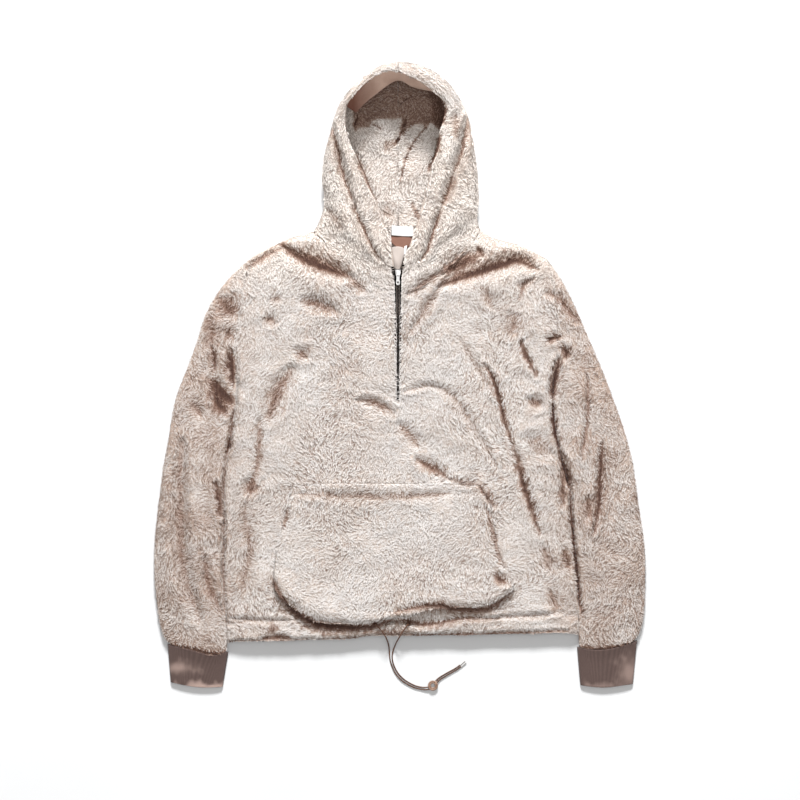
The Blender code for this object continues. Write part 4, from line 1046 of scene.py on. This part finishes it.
def make_cuff(side):
    node = "cuff_" + side
    obj = smooth_copy(node, node + "_rib", 3)
    points, _ = raw_mesh(obj)
    normals = vertex_normals(obj)
    wave = np.cos(2 * pi * points[:, 0] / RIB_PITCH)
    flat = np.clip(np.abs(normals[:, 2]) * 1.3, 0, 1)
    points += normals * ((wave * RIB_DEEP - RIB_SINK) * flat)[:, None]
    points[:, 2] = np.maximum(points[:, 2], 0.05 * MM)
    put_points(obj, points)
    give(obj, "rib", wave * 0.5 + 0.5)
    end = points[:, 1].min() + 0.5 * MM
    ragged = np.clip(1 + 0.35 * waves(points, 31, 0.01, 0.05), 0.4, 2)
    light = np.clip(1.25 - (points[:, 1] - end) / (CUFF_EDGE * ragged), 0, 1) ** 1.5
    x, y, reach_x, reach_y, most, share = CUFF_WORN[side]
    worn = np.exp(-(((points[:, 0] - x) / reach_x) ** 2 + ((points[:, 1] - y) / reach_y) ** 2) * ragged)
    give(obj, "edge", np.maximum(share * light, most * worn))
    return seat(obj, RIB, "rib_knit", node)


# Neck trims, zip and hem details.

TOOTH_PITCH = 2.5 * MM
TOOTH = (3.0, 1.0, 2.0)     # millimetres
TOOTH_APART = 0.75 * MM     # from the middle of the chain
TOOTH_RISE = 2.3 * MM
OPEN_TOOTH = (4.6, 2.6, 2.4)
OPEN_RISE = 4.4 * MM        # above the cloth
OPEN_ROWS = (((-8.8, 168.5), (-12.2, 183.5)), ((2.6, 169.0), (5.4, 186.5)))


def make_teeth(cloths):
    """The closed chain below the slider, and the open ends of its two rows in a V above it."""
    low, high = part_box("zip_teeth")
    work = bmesh.new()

    def tooth(size, place):
        made = bmesh.ops.create_cube(work, size=1.0)["verts"]
        bmesh.ops.scale(work, vec=Vector(size) * MM, verts=made)
        bmesh.ops.translate(work, vec=place, verts=made)

    middle = (low.x + high.x) / 2
    for row in range(int((high.y - low.y) / TOOTH_PITCH)):
        for sign in (-1, 1):
            y = low.y + (row + 0.5 + 0.25 * sign) * TOOTH_PITCH
            tooth(TOOTH, (middle + sign * TOOTH_APART, y, low.z + TOOTH_RISE))
    under = tree_of(*cloths.values())
    for start, end in OPEN_ROWS:
        for x, y in np.linspace(start, end, 5) * MM:
            z = under.ray_cast(Vector((x, y, 1.0)), Vector((0, 0, -1)))[0].z
            tooth(OPEN_TOOTH, (x, y, z + OPEN_RISE))
    bmesh.ops.bevel(work, geom=work.edges[:], offset=0.25 * MM, segments=1, affect="EDGES")
    return seat(from_work("zip_teeth_row", work), TEETH, "zip_teeth", "zip_teeth")


def panel(name, places, thick, look, slot, *replaced):
    """A thin closed cloth from the x, y and z of a grid of points on its upper side, in metres."""
    top = np.stack(places, axis=-1)
    rows, columns = top.shape[:2]
    points = np.vstack([top.reshape(-1, 3), (top - (0, 0, thick)).reshape(-1, 3)])
    under = rows * columns
    faces = []
    for i in range(rows - 1):
        for j in range(columns - 1):
            a = i * columns + j
            face = (a, a + 1, a + columns + 1, a + columns)
            faces += [face, tuple(k + under for k in reversed(face))]
    rim = [*range(columns), *range(2 * columns - 1, under, columns),
           *range(under - 2, under - columns - 1, -1), *range(under - 2 * columns, 0, -columns)]
    faces += [(b, a, a + under, b + under) for a, b in zip(rim, rim[1:] + rim[:1])]
    data = bpy.data.meshes.new(name)
    data.from_pydata(points.tolist(), [], faces)
    work = bmesh.new()
    work.from_mesh(data)
    bmesh.ops.recalc_face_normals(work, faces=work.faces)
    work.to_mesh(data)
    work.free()
    data.shade_smooth()
    return seat(placed(name, data), look, slot, *replaced)


def grid(rows, columns, left=-1):
    """How far up a panel each of its points is, from 0 to 1, and how far across, up to 1."""
    return np.meshgrid(np.linspace(0, 1, rows), np.linspace(left, 1, columns), indexing="ij")


LABEL_TALLER = 2.8 * MM


def make_neck():
    """The neck facing below the patch, the blank label, the end of a blank tab beside them, the patch."""
    v, u = grid(26, 22)
    y = 181.5 + 38.5 * v - 4.5 * v ** 4 * u ** 2
    x = -4.0 + u * (3.6 + 11.5 * v ** 0.8)
    z = 9.3 + 3.0 * (1 - u ** 2) * np.sin(pi * np.clip(v, 0.04, 1) ** 0.8) * (1 - 0.5 * v)
    z += 0.25 * np.sin(8 * v + 2 * u)
    panel("neck_facing_oval", (x * MM, y * MM, z * MM), 0.9 * MM, NECK, "facing_knit")

    low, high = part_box("neck_label")
    high.y += LABEL_TALLER
    v, u = grid(12, 30, 0)
    round_off = 1 - 0.10 * np.clip(np.abs(2 * u - 1) * 15 - 14, 0, 1) ** 2
    y = low.y + (high.y - low.y) * (0.5 + (v - 0.5) * round_off) + (0.4 - 2.0 * u - 0.5 * np.sin(pi * u)) * MM
    x = low.x + (high.x - low.x) * u
    z = high.z + (0.35 * np.sin(2.5 * pi * u) + 0.5 * (1 - v) - 0.25) * MM
    panel("neck_label_weave", (x, y, z), 0.5 * MM, LABEL, "label", "neck_label")

    v, u = grid(10, 7)
    y = 206.0 + 15.0 * v + 0.6 * u
    x = 10.2 + 2.3 * u * (1 - 0.25 * (1 - v)) - 1.4 * (1 - v)
    z = 13.0 - 2.4 * v + 0.5 * (1 - u ** 2)
    panel("neck_tab_end", (x * MM, y * MM, z * MM), 0.5 * MM, LABEL, "label")

    v, u = grid(16, 24)
    y = 215.5 + 37.0 * v + 12.0 * (1 - v) ** 2 * u ** 2
    x = 4.4 + 19.0 * u
    z = 9.2 + 0.5 * np.cos(1.5 * u) * np.sin(pi * v) + 0.12 * np.sin(9 * u + 4 * v)
    panel("neck_patch_knit", (x * MM, y * MM, z * MM), 0.9 * MM, PATCH, "rib_knit", "neck_patch")


EYELET_TOP = 20.9
EYELET_RADIUS = 2.9


def make_eyelets():
    """The stitched holes that the drawcord comes out of."""
    for name, (x, y) in (("eyelet_left", (-42.0, -422.0)), ("eyelet_right", (15.0, -421.0))):
        work = bmesh.new()
        for turn in np.linspace(0, 2 * pi, 20, endpoint=False):
            made = bmesh.ops.create_icosphere(work, subdivisions=1, radius=1.0)["verts"]
            for vert in made:
                along, across, rise = vert.co.x * 1.35, vert.co.y * 0.5, vert.co.z * 0.55
                far = EYELET_RADIUS + along
                px, py = cos(turn) * far - sin(turn) * across, sin(turn) * far + cos(turn) * across
                vert.co = Vector((x + px * 1.15, y + py, EYELET_TOP + rise - 0.25 * abs(along))) * MM
        obj = from_work(name, work)
        obj.data.shade_smooth()
        seat(obj, CORD, "cord")


PULL_BEVEL = 0.12 * MM


def make_pull():
    """The flat pull tab, with the hole at its end and the slot that it hangs by."""
    low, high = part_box("zip_pull")
    data = bpy.data.curves.new("zip_pull_tab", "CURVE")
    data.dimensions = "2D"
    data.fill_mode = "BOTH"
    middle = (low.x + high.x) / 2
    half = (high.x - low.x) / 2
    waist = half * 0.80

    def arc(wide, tall, y, turn):
        return [(wide * cos(a), y + tall * sin(a)) for a in turn]

    outer = [(waist, high.y - half), (waist, low.y + 9 * MM), (half, low.y + 7 * MM), (half, low.y + half)]
    outer += arc(half, half, low.y + half, np.linspace(0, -pi, 12)[1:-1])
    outer += [(-x, y) for x, y in reversed(outer[:4])]
    outer += arc(-waist, half, high.y - half, np.linspace(0, pi, 12)[1:-1])
    turn = np.linspace(0, 2 * pi, 24, endpoint=False)
    hole = arc(1.9 * MM, 1.9 * MM, low.y + 4.4 * MM, turn)
    slot = arc(1.1 * MM, 1.5 * MM, high.y - 3.0 * MM, turn)
    for ring in (outer, hole, slot):
        add_line(data, [(middle + x, y, 0.0) for x, y in ring], True)
    data.extrude = (high.z - low.z) / 2 - PULL_BEVEL
    data.bevel_depth = PULL_BEVEL
    data.bevel_resolution = 1
    obj = placed("zip_pull_tab", data)
    obj.location = (0, 0, (low.z + high.z) / 2)
    seat(obj, METAL, "zip_metal", "zip_pull", body="pull_tab")


def dress_nodes():
    """Materials for the solids that are seen as they are, and the facing under the hood's top edge."""
    for name, look in (("zip_tape_left", TAPE), ("zip_tape_right", TAPE), ("zip_stop", TEETH),
                       ("zip_slider", METAL)):
        nodes[name].data.materials.clear()
        nodes[name].data.materials.append(look)
    seat(smooth_copy("hood_facing", "hood_facing_knit", 2), FACING, "facing_knit", "hood_facing")


# Floor and lights.

def make_stage():
    bpy.ops.mesh.primitive_plane_add(size=24.0, location=(0, 0, -0.2 * MM))
    floor = bpy.context.object
    floor.name = "floor"
    floor.data.materials.append(FLOOR)


LIT_POINT = Vector((0.0, -0.02, 0.0))


def make_light(name, place, size, power):
    data = bpy.data.lights.new(name, "AREA")
    data.shape = "DISK"
    data.size = size
    data.energy = power
    light = placed(name, data)
    light.location = place
    light.rotation_euler = (LIT_POINT - Vector(place)).to_track_quat("-Z", "Y").to_euler()


def make_lights():
    make_light("key", (0.0, 5.15, 3.09), 1.35, 815.0)
    make_light("fill", (0.1, -0.3, 2.9), 2.6, 35.0)
    world = bpy.data.worlds.new("studio")
    scene.world = world
    world.use_nodes = True
    background = world.node_tree.nodes["Background"].inputs
    background["Color"].default_value = (1.0, 0.965, 0.94, 1.0)
    background["Strength"].default_value = 0.37
    scene.view_settings.view_transform = "Standard"
    scene.view_settings.look = "None"


make_camera()
make_cords()
cloths, piles = make_fleece()
make_cuff("left")
make_cuff("right")
make_teeth(cloths)
make_neck()
make_eyelets()
make_pull()
dress_nodes()
make_stage()
make_lights()
